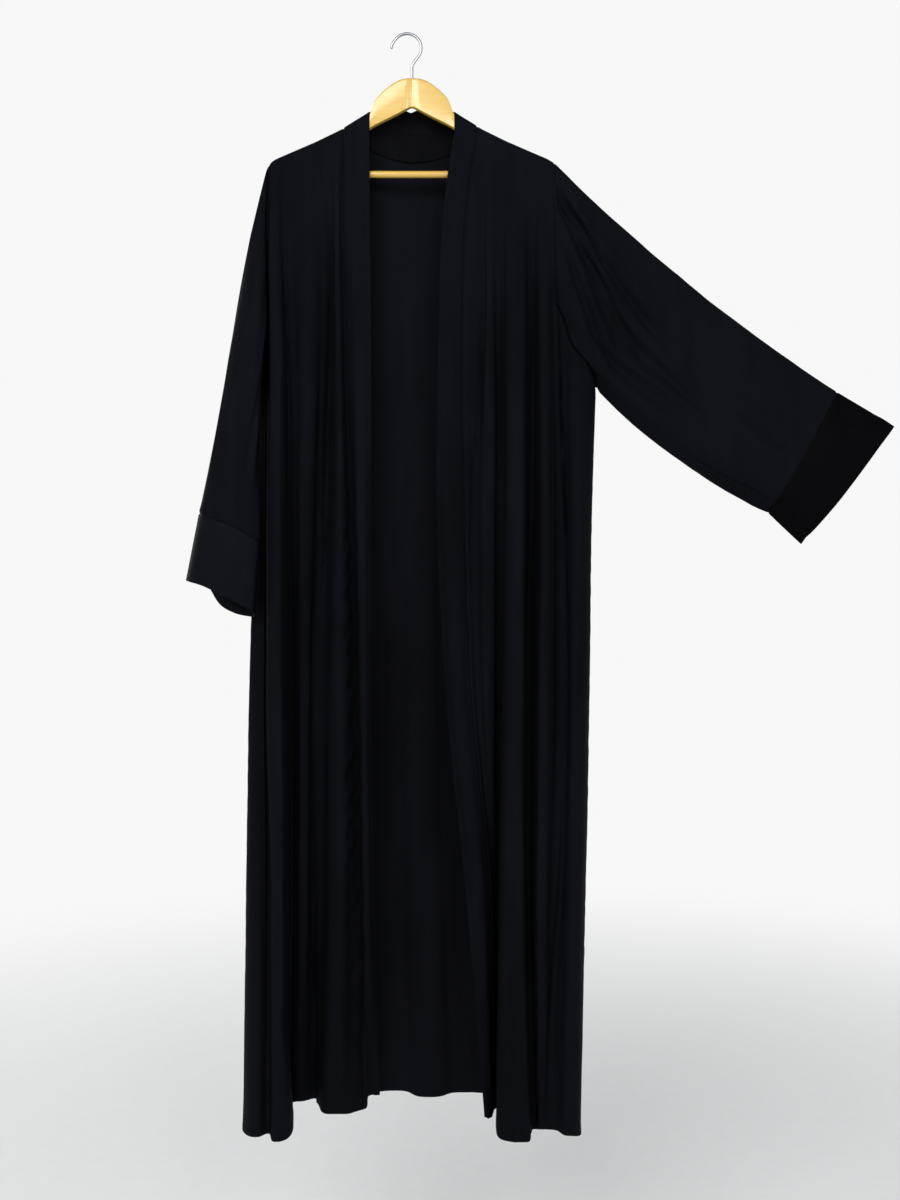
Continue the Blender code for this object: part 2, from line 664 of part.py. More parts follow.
def make_back(cloth):
    """The back panel and its two armholes."""
    s = back_columns()
    last = len(BACK) - 1
    points, normals, present = body_grid(BACK, 1, s, [(2, 0), (last - 2, last)])
    normals = same_way(normals, np.array([0.0, 1.0, 0.3]))
    arm_left = nearest(s, 2)
    arm_right = nearest(s, last - 2)
    square = normals.copy()
    shoulder_normals(points, square)
    for column in range(arm_left, arm_right + 1):
        x = points[0, column, 0]
        side = -1 if x < BACK_NECK_X else 1
        turn = float(neck_turn(side, x))
        if turn > 0:
            normals[0, column] = same_way(neck_normal(side, turn), np.array([0.0, 1.0, 1.0]))
        else:
            normals[0, column] = square[0, column]
    panel = Panel("back", points, normals, WALL, cloth, present)
    on_shoulder = slice(arm_left, arm_right + 1)
    panel.seam((LOWER, 0), (LOWER, 1))
    panel.seam((LOWER, -1), (LOWER, -2))
    panel.seam((0, on_shoulder), (1, on_shoulder))
    return panel, armhole(panel, arm_left, 0), armhole(panel, arm_right, len(s) - 1)


def make_band(name, side, cloth):
    """The doubled band: round the back of the neck, over the shoulder and down the opening."""
    folds = LEFT_FRONT if side < 0 else RIGHT_FRONT
    s = columns_of(folds)
    s = s[s <= BAND_SEAM]
    front, front_normals, _ = body_grid(folds, -1, s, [])
    front_normals = same_way(front_normals, np.array([side * 0.2, -1.0, 0.3]))
    shoulder_normals(front, front_normals)
    x = front[0, :, 0]
    shares = (x - x[0]) / (x[-1] - x[0])
    turn_grid, share_grid = np.meshgrid(NECK_TURNS[:-1], shares, indexing="ij")
    neck = neck_point(side, turn_grid, share_grid)
    inside_turns = np.clip(turn_grid, EDGE_STEP, 1 - EDGE_STEP)
    neck_normals = normals_of(lambda a, b: neck_point(side, a, b), inside_turns, share_grid)
    neck_normals = same_way(neck_normals, np.array([0.0, 1.0, 1.0]))
    points = np.concatenate([neck, front])
    normals = np.concatenate([neck_normals, front_normals])
    panel = Panel(name, points, normals, DOUBLED, cloth)
    panel.seam((slice(None), -1), (slice(None), -2))
    panel.seam((0, slice(None)), (1, slice(None)))
    return panel


def make_facing(cloth):
    """The crescent inside the back neck, made from the back's points, moved in."""
    columns = np.linspace(-FACING_HALF, FACING_HALF, FACING_COLUMNS)
    s = back_s(columns + FACING_X)
    top = top_of(BACK, s, 1).z
    hem = hem_z(BACK, s)
    crescent = (1 - (columns / (FACING_HALF + FACING_EDGE)) ** 2) ** 0.6
    deep = FACING_EDGE + (FACING_DEEP - FACING_EDGE) * crescent
    turns = len(TURN_ROWS)
    points = []
    normals = []
    for share in FACING_ROWS:
        fall = FACING_DOWN + deep * share
        angle = np.degrees(np.arccos(np.clip(1 - fall / ARM_ROUND, 0, 1)))
        turned = np.interp(angle, TURN_ROWS + (90.0,), range(turns + 1))
        below = turns + (fall - ARM_ROUND) / (top - ARM_ROUND - hem)
        rows = np.where(fall < ARM_ROUND, turned, below)
        points.append(body_point(BACK, 1, s, rows))
        normals.append(normals_of(lambda a, b: body_point(BACK, 1, a, b), s, np.maximum(rows, 0.01)))
    normals = same_way(np.array(normals), np.array([0.0, 1.0, 0.3]))
    inward = np.array(points) - normals * (WALL / 2 + 2 * SEAM + FACING / 2)
    return Panel("neck_facing", inward, normals, FACING, cloth)


# ---------------------------------------------------------------- sleeves


def ring_half(half, end, shares, at_hem):
    """Points of half a ring of cloth, at shares of its length from the first row of half to the last."""
    table = np.array(half, float)
    outer, inner = np.array(end.outer, float), np.array(end.inner, float)
    width = np.linalg.norm(inner - outer)
    fine = np.linspace(0, len(half) - 1, 121)
    curve = through(range(len(half)), table, fine)
    length = np.concatenate([[0], np.cumsum(np.hypot(np.diff(curve[:, 0]) * width, np.diff(curve[:, 1])))])
    at = np.interp(np.asarray(shares) * length[-1], length, fine)
    across, y, drop, hem = through(range(len(half)), table, at).T
    return outer + (inner - outer) * across[:, None] + np.stack([0 * y, y, -(hem if at_hem else drop)], -1)


def length_shares(points):
    steps = np.concatenate([[0], np.cumsum(np.linalg.norm(np.diff(points, axis=0), axis=1))])
    return steps / steps[-1]


def fold_depth(folds, g, t):
    """How far the long folds push a sleeve's cloth in, at g across its face and t along it."""
    deep = np.zeros(np.broadcast(g, t).shape)
    for fold in folds:
        middle = np.interp(t, (0.0, fold.bend_at, 1.0), (fold.start, fold.bend, fold.end))
        fading = (t / fold.fades_at - FOLD_HOLDS) / (1 - FOLD_HOLDS)
        strength = ease(t / FOLD_GROWS) * (1 - ease(fading))
        near = np.clip(1 - ((g - middle) / fold.half_width) ** 2, 0, 1) ** 2
        deep += fold.depth * strength * near
    return deep


Halves = namedtuple("Halves", "front back")


def make_sleeve(name, holes, rings, ends, pulls, folds, cloths):
    """A tube from the armhole to the cuff, and the doubled cuff that goes on from it. holes are
    the armhole's front and back."""
    edges = [hole.panel.points[hole.edge] for hole in holes]
    shares = Halves(length_shares(edges[0]), length_shares(edges[1][::-1]))
    hole = np.concatenate([edges[0], edges[1][::-1][1:-1]])
    face = np.concatenate([-np.ones(len(shares.front)), np.ones(len(shares.back) - 2)])
    across = np.concatenate([shares.front, 1 - shares.back[1:-1]])
    ring_ends = []
    for end, at_hem in zip(ends, (False, True)):
        back = ring_half(rings.back, end, shares.back, at_hem)
        ring_ends.append(np.concatenate([ring_half(rings.front, end, shares.front, at_hem), back[1:-1]]))
    seam_ring, cuff_ring = ring_ends
    reach = np.linalg.norm(seam_ring - hole, axis=1, keepdims=True)
    start_pull = pulls[0](across, face) * reach
    end_pull = pulls[1](across, face) * reach
    t = np.array(SLEEVE_ROWS)[:, None, None]
    points = hermite(hole, start_pull, seam_ring, end_pull, t)
    front_folds = fold_depth(folds.front, across, t[..., 0])
    back_folds = fold_depth(folds.back, across, t[..., 0])
    points[..., 1] += np.where(face < 0, front_folds, -back_folds)
    normals = ring_normals(points)
    if normals[0, 0, 2] < 0:
        normals = -normals
    cuff = np.array([seam_ring + (cuff_ring - seam_ring) * share for share in CUFF_ROWS])
    cuff_normals = same_way(ring_normals(cuff), normals[-1])
    cuff_normals[0] = normals[-1] = unit(cuff_normals[0] + normals[-1])
    sleeve = Panel(name, points, normals, WALL, cloths[0], ring=True)
    sew_in(sleeve, holes)
    sleeve.seam((-1,), (-2,))
    cuff_panel = Panel(name.replace("sleeve", "cuff"), cuff, cuff_normals, DOUBLED, cloths[1], ring=True)
    cuff_panel.seam((0,), (1,))
    return sleeve, cuff_panel


def sew_in(sleeve, holes):
    """At the armhole the body's wall and the sleeve's end on one plane, halfway between the two,
    and are drawn apart across it. Under the arm, where front, back and sleeve meet, that plane has
    no lean in y."""
    front, back = holes
    count = len(front.edge[0])
    total = len(sleeve.points[0])
    front_columns = np.arange(count)
    back_columns = np.concatenate([[0], np.arange(total - 1, count - 1, -1), [count - 1]])
    into_sleeve = unit(sleeve.points[1] - sleeve.points[0])
    apart = np.zeros_like(into_sleeve)
    shared = {}
    for hole, columns in ((front, front_columns), (back, back_columns)):
        into_body = unit(hole.panel.points[hole.inside] - hole.panel.points[hole.edge])
        away = unit(into_sleeve[columns] - into_body) * (SEAM / 2)
        hole.panel.moves.append((hole.edge, -away))
        apart[columns] = away
        shared[hole.panel.name] = unit(hole.panel.normals[hole.edge] + sleeve.normals[0, columns])
    on_front, on_back = shared[front.panel.name], shared[back.panel.name]
    on_front[-1, 1] = 0.0
    on_front[-1] = unit(on_front[-1])
    on_back[[0, -1]] = on_front[[0, -1]]
    front.panel.normals[front.edge] = on_front
    back.panel.normals[back.edge] = on_back
    sleeve.normals[0, front_columns] = on_front
    sleeve.normals[0, back_columns[1:-1]] = on_back[1:-1]
    sleeve.moves.append(((0,), apart))


def ring_normals(points):
    round_it = np.roll(points, -1, axis=1) - np.roll(points, 1, axis=1)
    along = np.gradient(points, axis=0)
    return unit(np.cross(round_it, along))


# Which way the left sleeve leaves the armhole, (out, back, up), from the shoulder (0) to the underarm (1).
Leaving = namedtuple("Leaving", "across front back")
LEFT_LEAVING = (
    Leaving(0.0, (-0.23, 0.0, -0.85), (-0.23, 0.0, -0.85)),
    Leaving(0.3, (-0.24, -0.22, -0.9), (-0.35, 0.0, -0.9)),
    Leaving(0.6, (0.10, -0.72, -0.9), (-0.45, 0.0, -0.9)),
    Leaving(0.8, (0.10, -0.72, -0.9), (-0.55, 0.0, -0.9)),
    Leaving(0.92, (-0.05, -0.60, -0.9), (-0.50, -0.05, -0.9)),
    Leaving(1.0, (-0.20, -0.50, -0.9), (-0.20, -0.50, -0.9)),
)


def left_leave(across, face):
    """How the left sleeve's cloth leaves the armhole: out over the arm's end, then forward."""
    places = [row.across for row in LEFT_LEAVING]
    front = np.array([np.interp(across, places, values) for values in zip(*(r.front for r in LEFT_LEAVING))])
    back = np.array([np.interp(across, places, values) for values in zip(*(r.back for r in LEFT_LEAVING))])
    return np.where(face < 0, front, back).T


def left_arrive(across, face):
    return np.stack([np.interp(across, (0.0, 0.5), (-0.20, -0.13)), 0 * across, -0.88 + 0 * across], -1)


def right_leave(across, face):
    """The right sleeve is held out, and sags a little between the arm and the hand."""
    out = np.interp(across, (0.0, 1.0), (0.74, 0.84))
    forward = face * np.interp(across, (0.0, 0.5, 1.0), (0.0, 0.08, 0.05))
    down = np.interp(across, (0.0, 0.3, 1.0), (-0.74, -0.76, -0.88))
    return np.stack([out, forward, down], -1)


def right_arrive(across, face):
    out = np.interp(across, (0.0, 1.0), (0.76, 0.84))
    down = np.interp(across, (0.0, 1.0), (-0.50, -0.36))
    return np.stack([out, 0 * across, down], -1)


# ---------------------------------------------------------------- hanger


def rounded_section(half_depth, top, bottom, corner, y):
    """(y, z) round an arm's section: a rectangle with rounded corners."""
    found = []
    for turn, centre_y, centre_z in (
        (0, half_depth - corner, top - corner),
        (90, corner - half_depth, top - corner),
        (180, corner - half_depth, bottom + corner),
        (270, half_depth - corner, bottom + corner),
    ):
        for angle in (turn, turn + 45, turn + 90):
            radians = math.radians(angle)
            found.append((y + centre_y + corner * math.cos(radians), centre_z + corner * math.sin(radians)))
    return found


def make_arm(name, side, wood):
    """One half of the hanger, cut at the middle, with a creased joint and a socket for the bar."""
    rings = []
    for cut in WOOD:
        half_depth = WOOD_DEPTH / 2 - cut.thinner
        corner = min(WOOD_CORNER, half_depth - 0.4)
        section = rounded_section(half_depth, cut.top, cut.bottom, corner, arm_y(cut.r))
        rings.append([(HANGER_X + side * cut.r, y, z) for y, z in section])
    count = len(rings[0])
    vertices = np.array([p for ring in rings for p in ring])
    faces = [tuple(range(count)), tuple(reversed(range(len(vertices) - count, len(vertices))))]
    for j in range(len(rings) - 1):
        for i in range(count):
            k = (i + 1) % count
            faces.append((j * count + i, j * count + k, (j + 1) * count + k, (j + 1) * count + i))
    arm = mesh_object(name, vertices, faces, wood)
    mouth = (HANGER_X + side * (BAR_REACH - BAR_SOCKET), arm_y(BAR_REACH), BAR_Z)
    drill(arm, BAR_RADIUS + SEAM, mouth, (side, 0, 0), BAR_SOCKET + 1)
    foot = (HANGER_X, 0, STEM_FOOT_Z - STEM_SPARE)
    drill(arm, WIRE_RADIUS + SEAM, foot, (0, 0, 1), STEM_CUT)


def rod(name, radius, start, direction, length, surface):
    mesh = bpy.data.meshes.new(name)
    work = bmesh.new()
    bmesh.ops.create_cone(
        work, cap_ends=True, segments=ROD_SIDES, radius1=radius * MM, radius2=radius * MM, depth=length * MM
    )
    work.to_mesh(mesh)
    work.free()
    mesh.shade_smooth()
    mesh.set_sharp_from_angle(angle=SHARP)
    if surface:
        mesh.materials.append(surface)
    part = bpy.data.objects.new(name, mesh)
    middle = [a + d * length / 2 for a, d in zip(start, direction)]
    part.location = [c * MM for c in middle]
    if abs(direction[0]) > 0.5:
        part.rotation_euler = (0, math.pi / 2, 0)
    bpy.context.scene.collection.objects.link(part)
    return part


def drill(arm, radius, start, direction, length):
    cutter = rod(arm.name + "_hole", radius, start, direction, length, None)
    cutter.hide_render = True
    cutter.display_type = "WIRE"
    cut = arm.modifiers.new("hole", "BOOLEAN")
    cut.operation = "DIFFERENCE"
    cut.object = cutter


BEND_STEPS = (0.25, 0.5, 0.75, 1.0)


def make_hook(chrome):
    """A wire: a stem in the wood, a lean to the right and three quarters of a circle."""
    angles = np.radians(np.linspace(*HOOK_TURN, 17))
    arc = [(HOOK_RADIUS * math.cos(a), 0, HOOK_Z + HOOK_RADIUS * math.sin(a)) for a in angles]
    end = np.array(arc[-1])
    heading = np.array((math.sin(angles[-1]), 0, -math.cos(angles[-1])))
    down = np.array((0, 0, -1.0))
    stem_top = np.array((HANGER_X, 0, STEM_TOP_Z))
    bend = [hermite(end, heading * HOOK_RADIUS, stem_top, down * HOOK_RADIUS, t) for t in BEND_STEPS]
    stem = [(HANGER_X, 0, STEM_TOP_Z - 10), (HANGER_X, 0, STEM_FOOT_Z)]
    route = arc + [tuple(p) for p in bend] + stem
    curve = bpy.data.curves.new("hanger_hook", "CURVE")
    curve.dimensions = "3D"
    curve.bevel_depth = WIRE_RADIUS * MM
    curve.bevel_resolution = 2
    curve.use_fill_caps = True
    spline = curve.splines.new("POLY")
    spline.points.add(len(route) - 1)
    for point, place in zip(spline.points, route):
        point.co = (*[c * MM for c in place], 1)
    curve.materials.append(chrome)
    hook = bpy.data.objects.new("hanger_hook", curve)
    bpy.context.scene.collection.objects.link(hook)


# ---------------------------------------------------------------- the whole


def material(name, colour, roughness, metallic=0.0):
    made = bpy.data.materials.new(name)
    made.use_nodes = True
    shader = made.node_tree.nodes["Principled BSDF"]
    shader.inputs["Base Color"].default_value = (*colour, 1)
    shader.inputs["Roughness"].default_value = roughness
    shader.inputs["Metallic"].default_value = metallic
    made.diffuse_color = (*colour, 1)
    return made


def main():
    for old in list(bpy.data.objects):
        bpy.data.objects.remove(old, do_unlink=True)
    crepe = material("black_crepe", (0.010, 0.011, 0.014), 0.75)
    satin = material("black_satin_trim", (0.014, 0.015, 0.020), 0.5)
    wood = material("varnished_wood", (0.62, 0.38, 0.13), 0.35)
    chrome = material("chrome", (0.8, 0.8, 0.82), 0.15, 1.0)

    front_left, left_front_hole = make_front("front_left", -1, crepe)
    front_right, right_front_hole = make_front("front_right", 1, crepe)
    back, left_back_hole, right_back_hole = make_back(crepe)
    left_sleeve = make_sleeve(
        "sleeve_left",
        (left_front_hole, left_back_hole),
        Halves(LEFT_RING_FRONT, LEFT_RING_BACK),
        (LEFT_SEAM_END, LEFT_CUFF_END),
        (left_leave, left_arrive),
        Halves(LEFT_SLEEVE_FOLDS, ()),
        (crepe, satin),
    )
    right_sleeve = make_sleeve(
        "sleeve_right",
        (right_front_hole, right_back_hole),
        Halves(RIGHT_RING_FRONT, RIGHT_RING_BACK),
        (RIGHT_SEAM_END, RIGHT_CUFF_END),
        (right_leave, right_arrive),
        Halves(RIGHT_SLEEVE_FOLDS, RIGHT_SLEEVE_BACK_FOLDS),
        (crepe, satin),
    )
    bands = [make_band("band_left", -1, crepe), make_band("band_right", 1, crepe)]
    for panel in (front_left, front_right, back, *left_sleeve, *right_sleeve, *bands, make_facing(crepe)):
        panel.build()
    make_arm("hanger_arm_left", -1, wood)
    make_arm("hanger_arm_right", 1, wood)
    rod(
        "hanger_bar",
        BAR_RADIUS,
        (HANGER_X - BAR_REACH, float(arm_y(BAR_REACH)), BAR_Z),
        (1, 0, 0),
        2 * BAR_REACH,
        wood,
    )
    make_hook(chrome)


main()
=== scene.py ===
"""The looks of the abaya on its wooden hanger.

Sizes are in millimetres and become metres when a mesh is made. +Z is up, the front faces -Y, and
the origin is the inside top of the hanger's hook. Each piece of cloth is a thin shell on the form
of its solid, with its smaller creases, puckers, seams and hems added along the shell's normals.
"""

import math
from collections import namedtuple

import bmesh
import bpy
import numpy as np
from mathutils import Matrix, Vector, noise


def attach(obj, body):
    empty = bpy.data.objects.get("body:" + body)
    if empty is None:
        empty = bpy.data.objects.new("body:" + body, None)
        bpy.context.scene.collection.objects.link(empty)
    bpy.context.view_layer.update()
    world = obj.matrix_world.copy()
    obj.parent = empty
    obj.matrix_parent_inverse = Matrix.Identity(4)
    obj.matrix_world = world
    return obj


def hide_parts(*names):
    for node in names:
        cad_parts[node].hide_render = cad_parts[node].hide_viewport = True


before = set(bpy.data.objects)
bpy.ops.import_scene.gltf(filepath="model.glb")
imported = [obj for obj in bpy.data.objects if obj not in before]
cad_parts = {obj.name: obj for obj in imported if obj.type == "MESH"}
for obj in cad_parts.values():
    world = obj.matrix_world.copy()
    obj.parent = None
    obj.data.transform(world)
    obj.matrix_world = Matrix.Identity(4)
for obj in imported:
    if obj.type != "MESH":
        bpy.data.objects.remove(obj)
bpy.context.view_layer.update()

MM = 0.001

# Cloth: how thick each kind is, its seams and its hems
CREPE = 0.9
BAND = 1.7
CUFF = 1.6
FACING = 0.7
SEAM_DIP = 0.9  # how deep a seam's groove is
SEAM_REACH = 1.5
SEAM_THINS = 0.5
# Small creases and dents reach their depth this far from a seam: on the body, from a band's free
# edge, on a sleeve and on a cuff.
SEAM_FADE, EDGE_FADE, SLEEVE_FADE, CUFF_FADE = 14.0, 8.0, 12.0, 10.0
DRAWN_FADE = 40.0
HEM = 13.0
HEM_STEP = 1.2
HEM_THICKENS = 0.4
STITCH_BELOW = 2.0  # the hem's stitches lie this far below its top
STITCH_DEPTH = 0.3
STITCH_REACH = 0.9
EDGE_THINNEST = 0.3  # of the cloth's thickness, at the very edge
# The bands' join at the back of the neck is a groove on both sides.
CENTRE_BACK_THINS, CENTRE_BACK_REACH = 0.8, 1.8

# The form of the body, as in the solids
HANGER_X = 7.3
ARM_REACH = 214.0
ARM_SWEEP = 6.0
ARM_ROUND = 8.5  # the cloth turns over an arm at this radius
WALL = 1.5
DROP = 90.0
SPREAD = 60.0
NECK_DROP = 45.0
NECK_FADE = 0.45
BACK_NECK_X = 20.0
BACK_NECK_DEEP = 28.0
BACK_NECK_SEAM_Z = -131.5
BACK_NECK_TOP_Z = -99.8
NECK_DIP = 3.6
NECK_DIP_X = 5.0
NECK_DIP_REACH = 5.0
BAND_SEAM = 2
UNDERARM_Z = -515.0
ARMHOLE_BEND = 0.8
NECK_FOLDS = (4, 8)


def table(kind, *rows):
    """Rows whose columns have the names of kind."""
    return tuple(kind(*row) for row in rows)


# Heights at which the fold tables give a fold's place
LEVELS = (-140.0, -260.0, -450.0, -700.0, -950.0, -1250.0, -1560.0)

# One row for each fold line: the height where it ends, and its place, (x, y), at each of the
# levels. Each front starts with its band, which ends at BAND_SEAM. At SIDE the cloth runs straight
# back along the body's side.
SIDE = "side"
Fold = namedtuple("Fold", "name hem top yoke chest waist hip knee foot")

LEFT_FRONT = table(
    Fold,
    ("edge", -1549,
     (-54, -15), (-53, -15), (-51, -18), (-51, -20), (-51, -20), (-47, -10), (-40, 14)),
    ("middle", -1546,
     (-71, -17), (-70, -17), (-68, -21), (-65, -28), (-62, -30), (-58, -22), (-55, 3)),
    ("seam", -1560,
     (-92, -15), (-92, -15), (-88, -15), (-80, -15), (-73, -15), (-69, -12), (-61, -12)),
    ("ridge_1", -1557,
     (-100, -17), (-100, -18), (-97, -25), (-93, -35), (-94, -40), (-94, -40), (-111, -36)),
    ("valley_1", -1552,
     (-109, -16), (-109, -15), (-113, -10), (-120, -6), (-129, -4), (-135, -2), (-141, 1)),
    ("ridge_2", -1551,
     (-145, -18), (-145, -19), (-142, -23), (-147, -23), (-149, -16), (-151, -10), (-155, -6)),
    ("valley_2", -1554,
     (-177, -17), (-177, -17), (-172, -13), (-167, -8), (-166, -4), (-166, -2), (-170, -2)),
    ("ridge_3", -1575,
     (-187, -18), (-187, -21), (-184, -26), (-183, -36), (-179, -48), (-173, -66), (-171, -84)),
    ("ridge_3b", -1575,
     (-194, -18), (-194, -21), (-193, -27), (-193, -33), (-190, -45), (-182, -64), (-181, -86)),
    ("arm_line", -1571,
     (-201, -17), (-202, -18), (-203, -8), (-207, 5), (-206, -12), (-197, -42), (-192, -70)),
    ("flank", -1570,
     (-210, -10), (-211, -10), (-213, 4), (-217, 13), (-217, -10), (-211, -47), (-207, -82)),
    (SIDE, -1574,
     (-218, 0), (-218, 0), (-221, 16), (-226, 22), (-231, 14), (-232, -6), (-232, -34)),
)
RIGHT_FRONT = table(
    Fold,
    ("edge", -1556,
     (69, -15), (53, -15), (46, -18), (44, -20), (56, -24), (86, -36), (112, -50)),
    ("middle", -1559,
     (83, -17), (68, -17), (61, -21), (63, -27), (73, -32), (103, -42), (118, -46)),
    ("seam", -1562,
     (102, -15), (86, -15), (81, -17), (84, -21), (93, -25), (121, -27), (124, -24)),
    ("valley_1", -1562,
     (115, -15), (109, -15), (106, -13), (99, -17), (103, -20), (124, -19), (125, -17)),
    ("ridge_1", -1562,
     (124, -16), (119, -17), (119, -21), (115, -27), (116, -28), (127, -12), (127, -9)),
    ("valley_2", -1562,
     (136, -16), (133, -16), (134, -12), (135, -9), (134, -5), (133, -3), (134, 0)),
    ("ridge_2", -1574,
     (153, -18), (152, -19), (151, -26), (151, -37), (148, -49), (142, -66), (138, -84)),
    ("ridge_2b", -1574,
     (163, -18), (163, -20), (163, -28), (164, -39), (162, -51), (162, -69), (170, -88)),
    ("valley_3", -1571,
     (182, -17), (181, -17), (182, -9), (180, -5), (176, -7), (175, -26), (181, -54)),
    ("ridge_3", -1567,
     (197, -18), (196, -21), (198, -26), (200, -35), (195, -41), (189, -53), (190, -64)),
    ("arm_line", -1568,
     (214, -17), (214, -20), (218, -10), (220, -5), (222, -16), (216, -36), (206, -63)),
    ("flank", -1570,
     (232, -15), (232, -15), (247, -14), (248, -26), (245, -38), (239, -56), (228, -78)),
    (SIDE, -1580,
     (282, 0), (282, 0), (277, 0), (269, 0), (265, -4), (258, -14), (248, -40)),
)
BACK = table(
    Fold,
    LEFT_FRONT[-1],
    ("flank_left", -1562,
     (-210, 8), (-210, 8), (-212, 24), (-216, 31), (-218, 30), (-214, 28), (-210, 22)),
    ("arm_left", -1558,
     (-201, 4), (-202, 4), (-198, 21), (-196, 24), (-194, 22), (-188, 18), (-180, 14)),
    ("fold_1", -1556,
     (-148, 10), (-148, 11), (-146, 20), (-144, 27), (-141, 33), (-135, 37), (-128, 40)),
    ("neck_left", -1554,
     (-92, 14), (-92, 17), (-90, 21), (-88, 24), (-86, 25), (-80, 26), (-74, 28)),
    ("fold_2", -1555,
     (-36, 22), (-36, 25), (-34, 27), (-32, 30), (-30, 34), (-24, 38), (-18, 43)),
    ("middle", -1560,
     (20, 26), (20, 27), (20, 27), (20, 26), (22, 28), (26, 30), (32, 31)),
    ("fold_3", -1557,
     (61, 22), (61, 25), (62, 26), (64, 30), (67, 33), (72, 37), (80, 42)),
    ("neck_right", -1553,
     (102, 14), (102, 17), (103, 20), (106, 23), (110, 26), (116, 28), (124, 29)),
    ("fold_4", -1554,
     (160, 10), (160, 10), (163, 18), (168, 27), (170, 33), (172, 38), (172, 41)),
    ("arm_right", -1560,
     (214, 4), (214, 4), (220, 12), (222, 18), (220, 20), (216, 20), (210, 18)),
    ("flank_right", -1566,
     (232, 6), (232, 6), (250, 14), (250, 24), (247, 26), (241, 24), (234, 18)),
    RIGHT_FRONT[-1],
)

# The line over the shoulders, from the hanger's middle out: r is the distance from it.
SHOULDER_R = (61.0, 102.0, 138.0, 177.0, 196.0, 208.0, 216.0)
SHOULDER_Z = (-112.0, -138.0, -156.0, -173.5, -182.0, -189.5, -197.0)
# The wood of an arm: top and bottom of its section at r from the hanger's middle
WoodSection = namedtuple("WoodSection", "r top bottom")
WOOD = table(
    WoodSection,
    (0.0, -64.0, -105.4),
    (6.0, -64.2, -108.6),
    (17.5, -66.3, -115.0),
    (29.0, -72.6, -121.0),
    (42.3, -83.5, -127.5),
    (52.0, -93.5, -132.5),
    (56.5, -103.0, -135.0),
    (59.0, -115.0, -137.0),
    (80.0, -128.0, -146.5),
    (102.0, -141.5, -158.0),
    (138.0, -159.2, -180.0),
    (165.0, -171.4, -201.0),
    (182.0, -179.2, -213.0),
    (196.0, -186.0, -214.0),
    (204.0, -193.0, -206.0),
)

# Rows of the bands behind the neck, from the middle of the back out
NECK_TURNS = np.concatenate([(1.0, 0.994, 0.986, 0.972), np.linspace(0.95, 0.0, 35)])
# Rows of the body: the turn over the shoulder in degrees, then shares of the way down
TURN_ROWS = tuple(np.linspace(0.0, 81.0, 10))
ARMPIT_SHARE = 0.142
ARMPIT_ROWS = 45
HEM_ROWS = 1 - np.array((0.0100, 0.0094, 0.0088, 0.0060, 0.0030, 0.0008, 0.0002, 0.0))
ARM_ROWS = np.linspace(0, ARMPIT_SHARE, ARMPIT_ROWS)
LOW_ROWS = np.linspace(ARMPIT_SHARE, 0.988, 150)[1:]
DOWN_ROWS = np.concatenate([ARM_ROWS, LOW_ROWS, HEM_ROWS])
ROWS = np.concatenate([np.arange(len(TURN_ROWS)), len(TURN_ROWS) + DOWN_ROWS])
ARMPIT_ROW = len(TURN_ROWS) + ARMPIT_ROWS - 1
BELOW_ARM = np.arange(len(ROWS))[:, None] >= ARMPIT_ROW
# Columns: how far apart they are, the extra ones beside a seam and those at a band's free edge
FRONT_PITCH = 3.0
BACK_PITCH = 4.4
BESIDE_SEAM = np.array((0.02, 0.05, 0.1))
SAME_COLUMN = 0.008
EDGE_COLUMNS = (0.0, 0.012, 0.035, 0.08)

# Sleeves. An end is the outer and inner corner of a ring of cloth; a ring's shape gives how far
# across it each point lies (0 at the outer corner, 1 at the inner), how far it stands out in y and
# how much lower than the line between the corners it hangs, at the cuff's seam and at its hem.
SleeveEnd = namedtuple("SleeveEnd", "outer inner")
LEFT_SEAM_END = SleeveEnd((-301, -8, -697), (-210, -14, -738))
LEFT_CUFF_END = SleeveEnd((-320, -8, -795), (-217, -14, -839))
RIGHT_SEAM_END = SleeveEnd((623, -8, -522), (528, -8, -689))
RIGHT_CUFF_END = SleeveEnd((706, -8, -571), (577, -8, -734))
RingPoint = namedtuple("RingPoint", "across y drop hem")
LEFT_RING_FRONT = table(
    RingPoint,
    (0.0, 2, 0, 0),
    (0.10, -21, 0, -2),
    (0.30, -33, -1, -5),
    (0.55, -37, -3, -4),
    (0.82, -36, -1, -2),
    (0.97, -30, 0, 1),
    (1.0, -22, 0, 4),
)
LEFT_RING_BACK = table(
    RingPoint,
    (1.0, -22, 0, 4),
    (0.99, -13, 1, 8),
    (0.90, -6, 4, 12),
    (0.70, -8, 8, 16),
    (0.47, 3, 10, 13),
    (0.24, 19, 8, -8),
    (0.06, 17, 3, -4),
    (0.0, 2, 0, 0),
)
RIGHT_RING_FRONT = table(
    RingPoint,
    (0.0, 0, 0, 0),
    (0.03, -9, 0, 0),
    (0.20, -15, 0, 0),
    (0.45, -22, 1, 1),
    (0.70, -25, 1, 1),
    (0.92, -16, 0, 0),
    (1.0, 0, 0, 0),
)
RIGHT_RING_BACK = table(
    RingPoint,
    (1.0, 0, 0, 0),
    (1.01, 10, 5, 5),
    (0.90, 19, 6, 6),
    (0.70, 22, 4, 4),
    (0.45, 17, 2, 2),
    (0.20, 12, 1, 1),
    (0.03, 8, 0, 0),
    (0.0, 0, 0, 0),
)

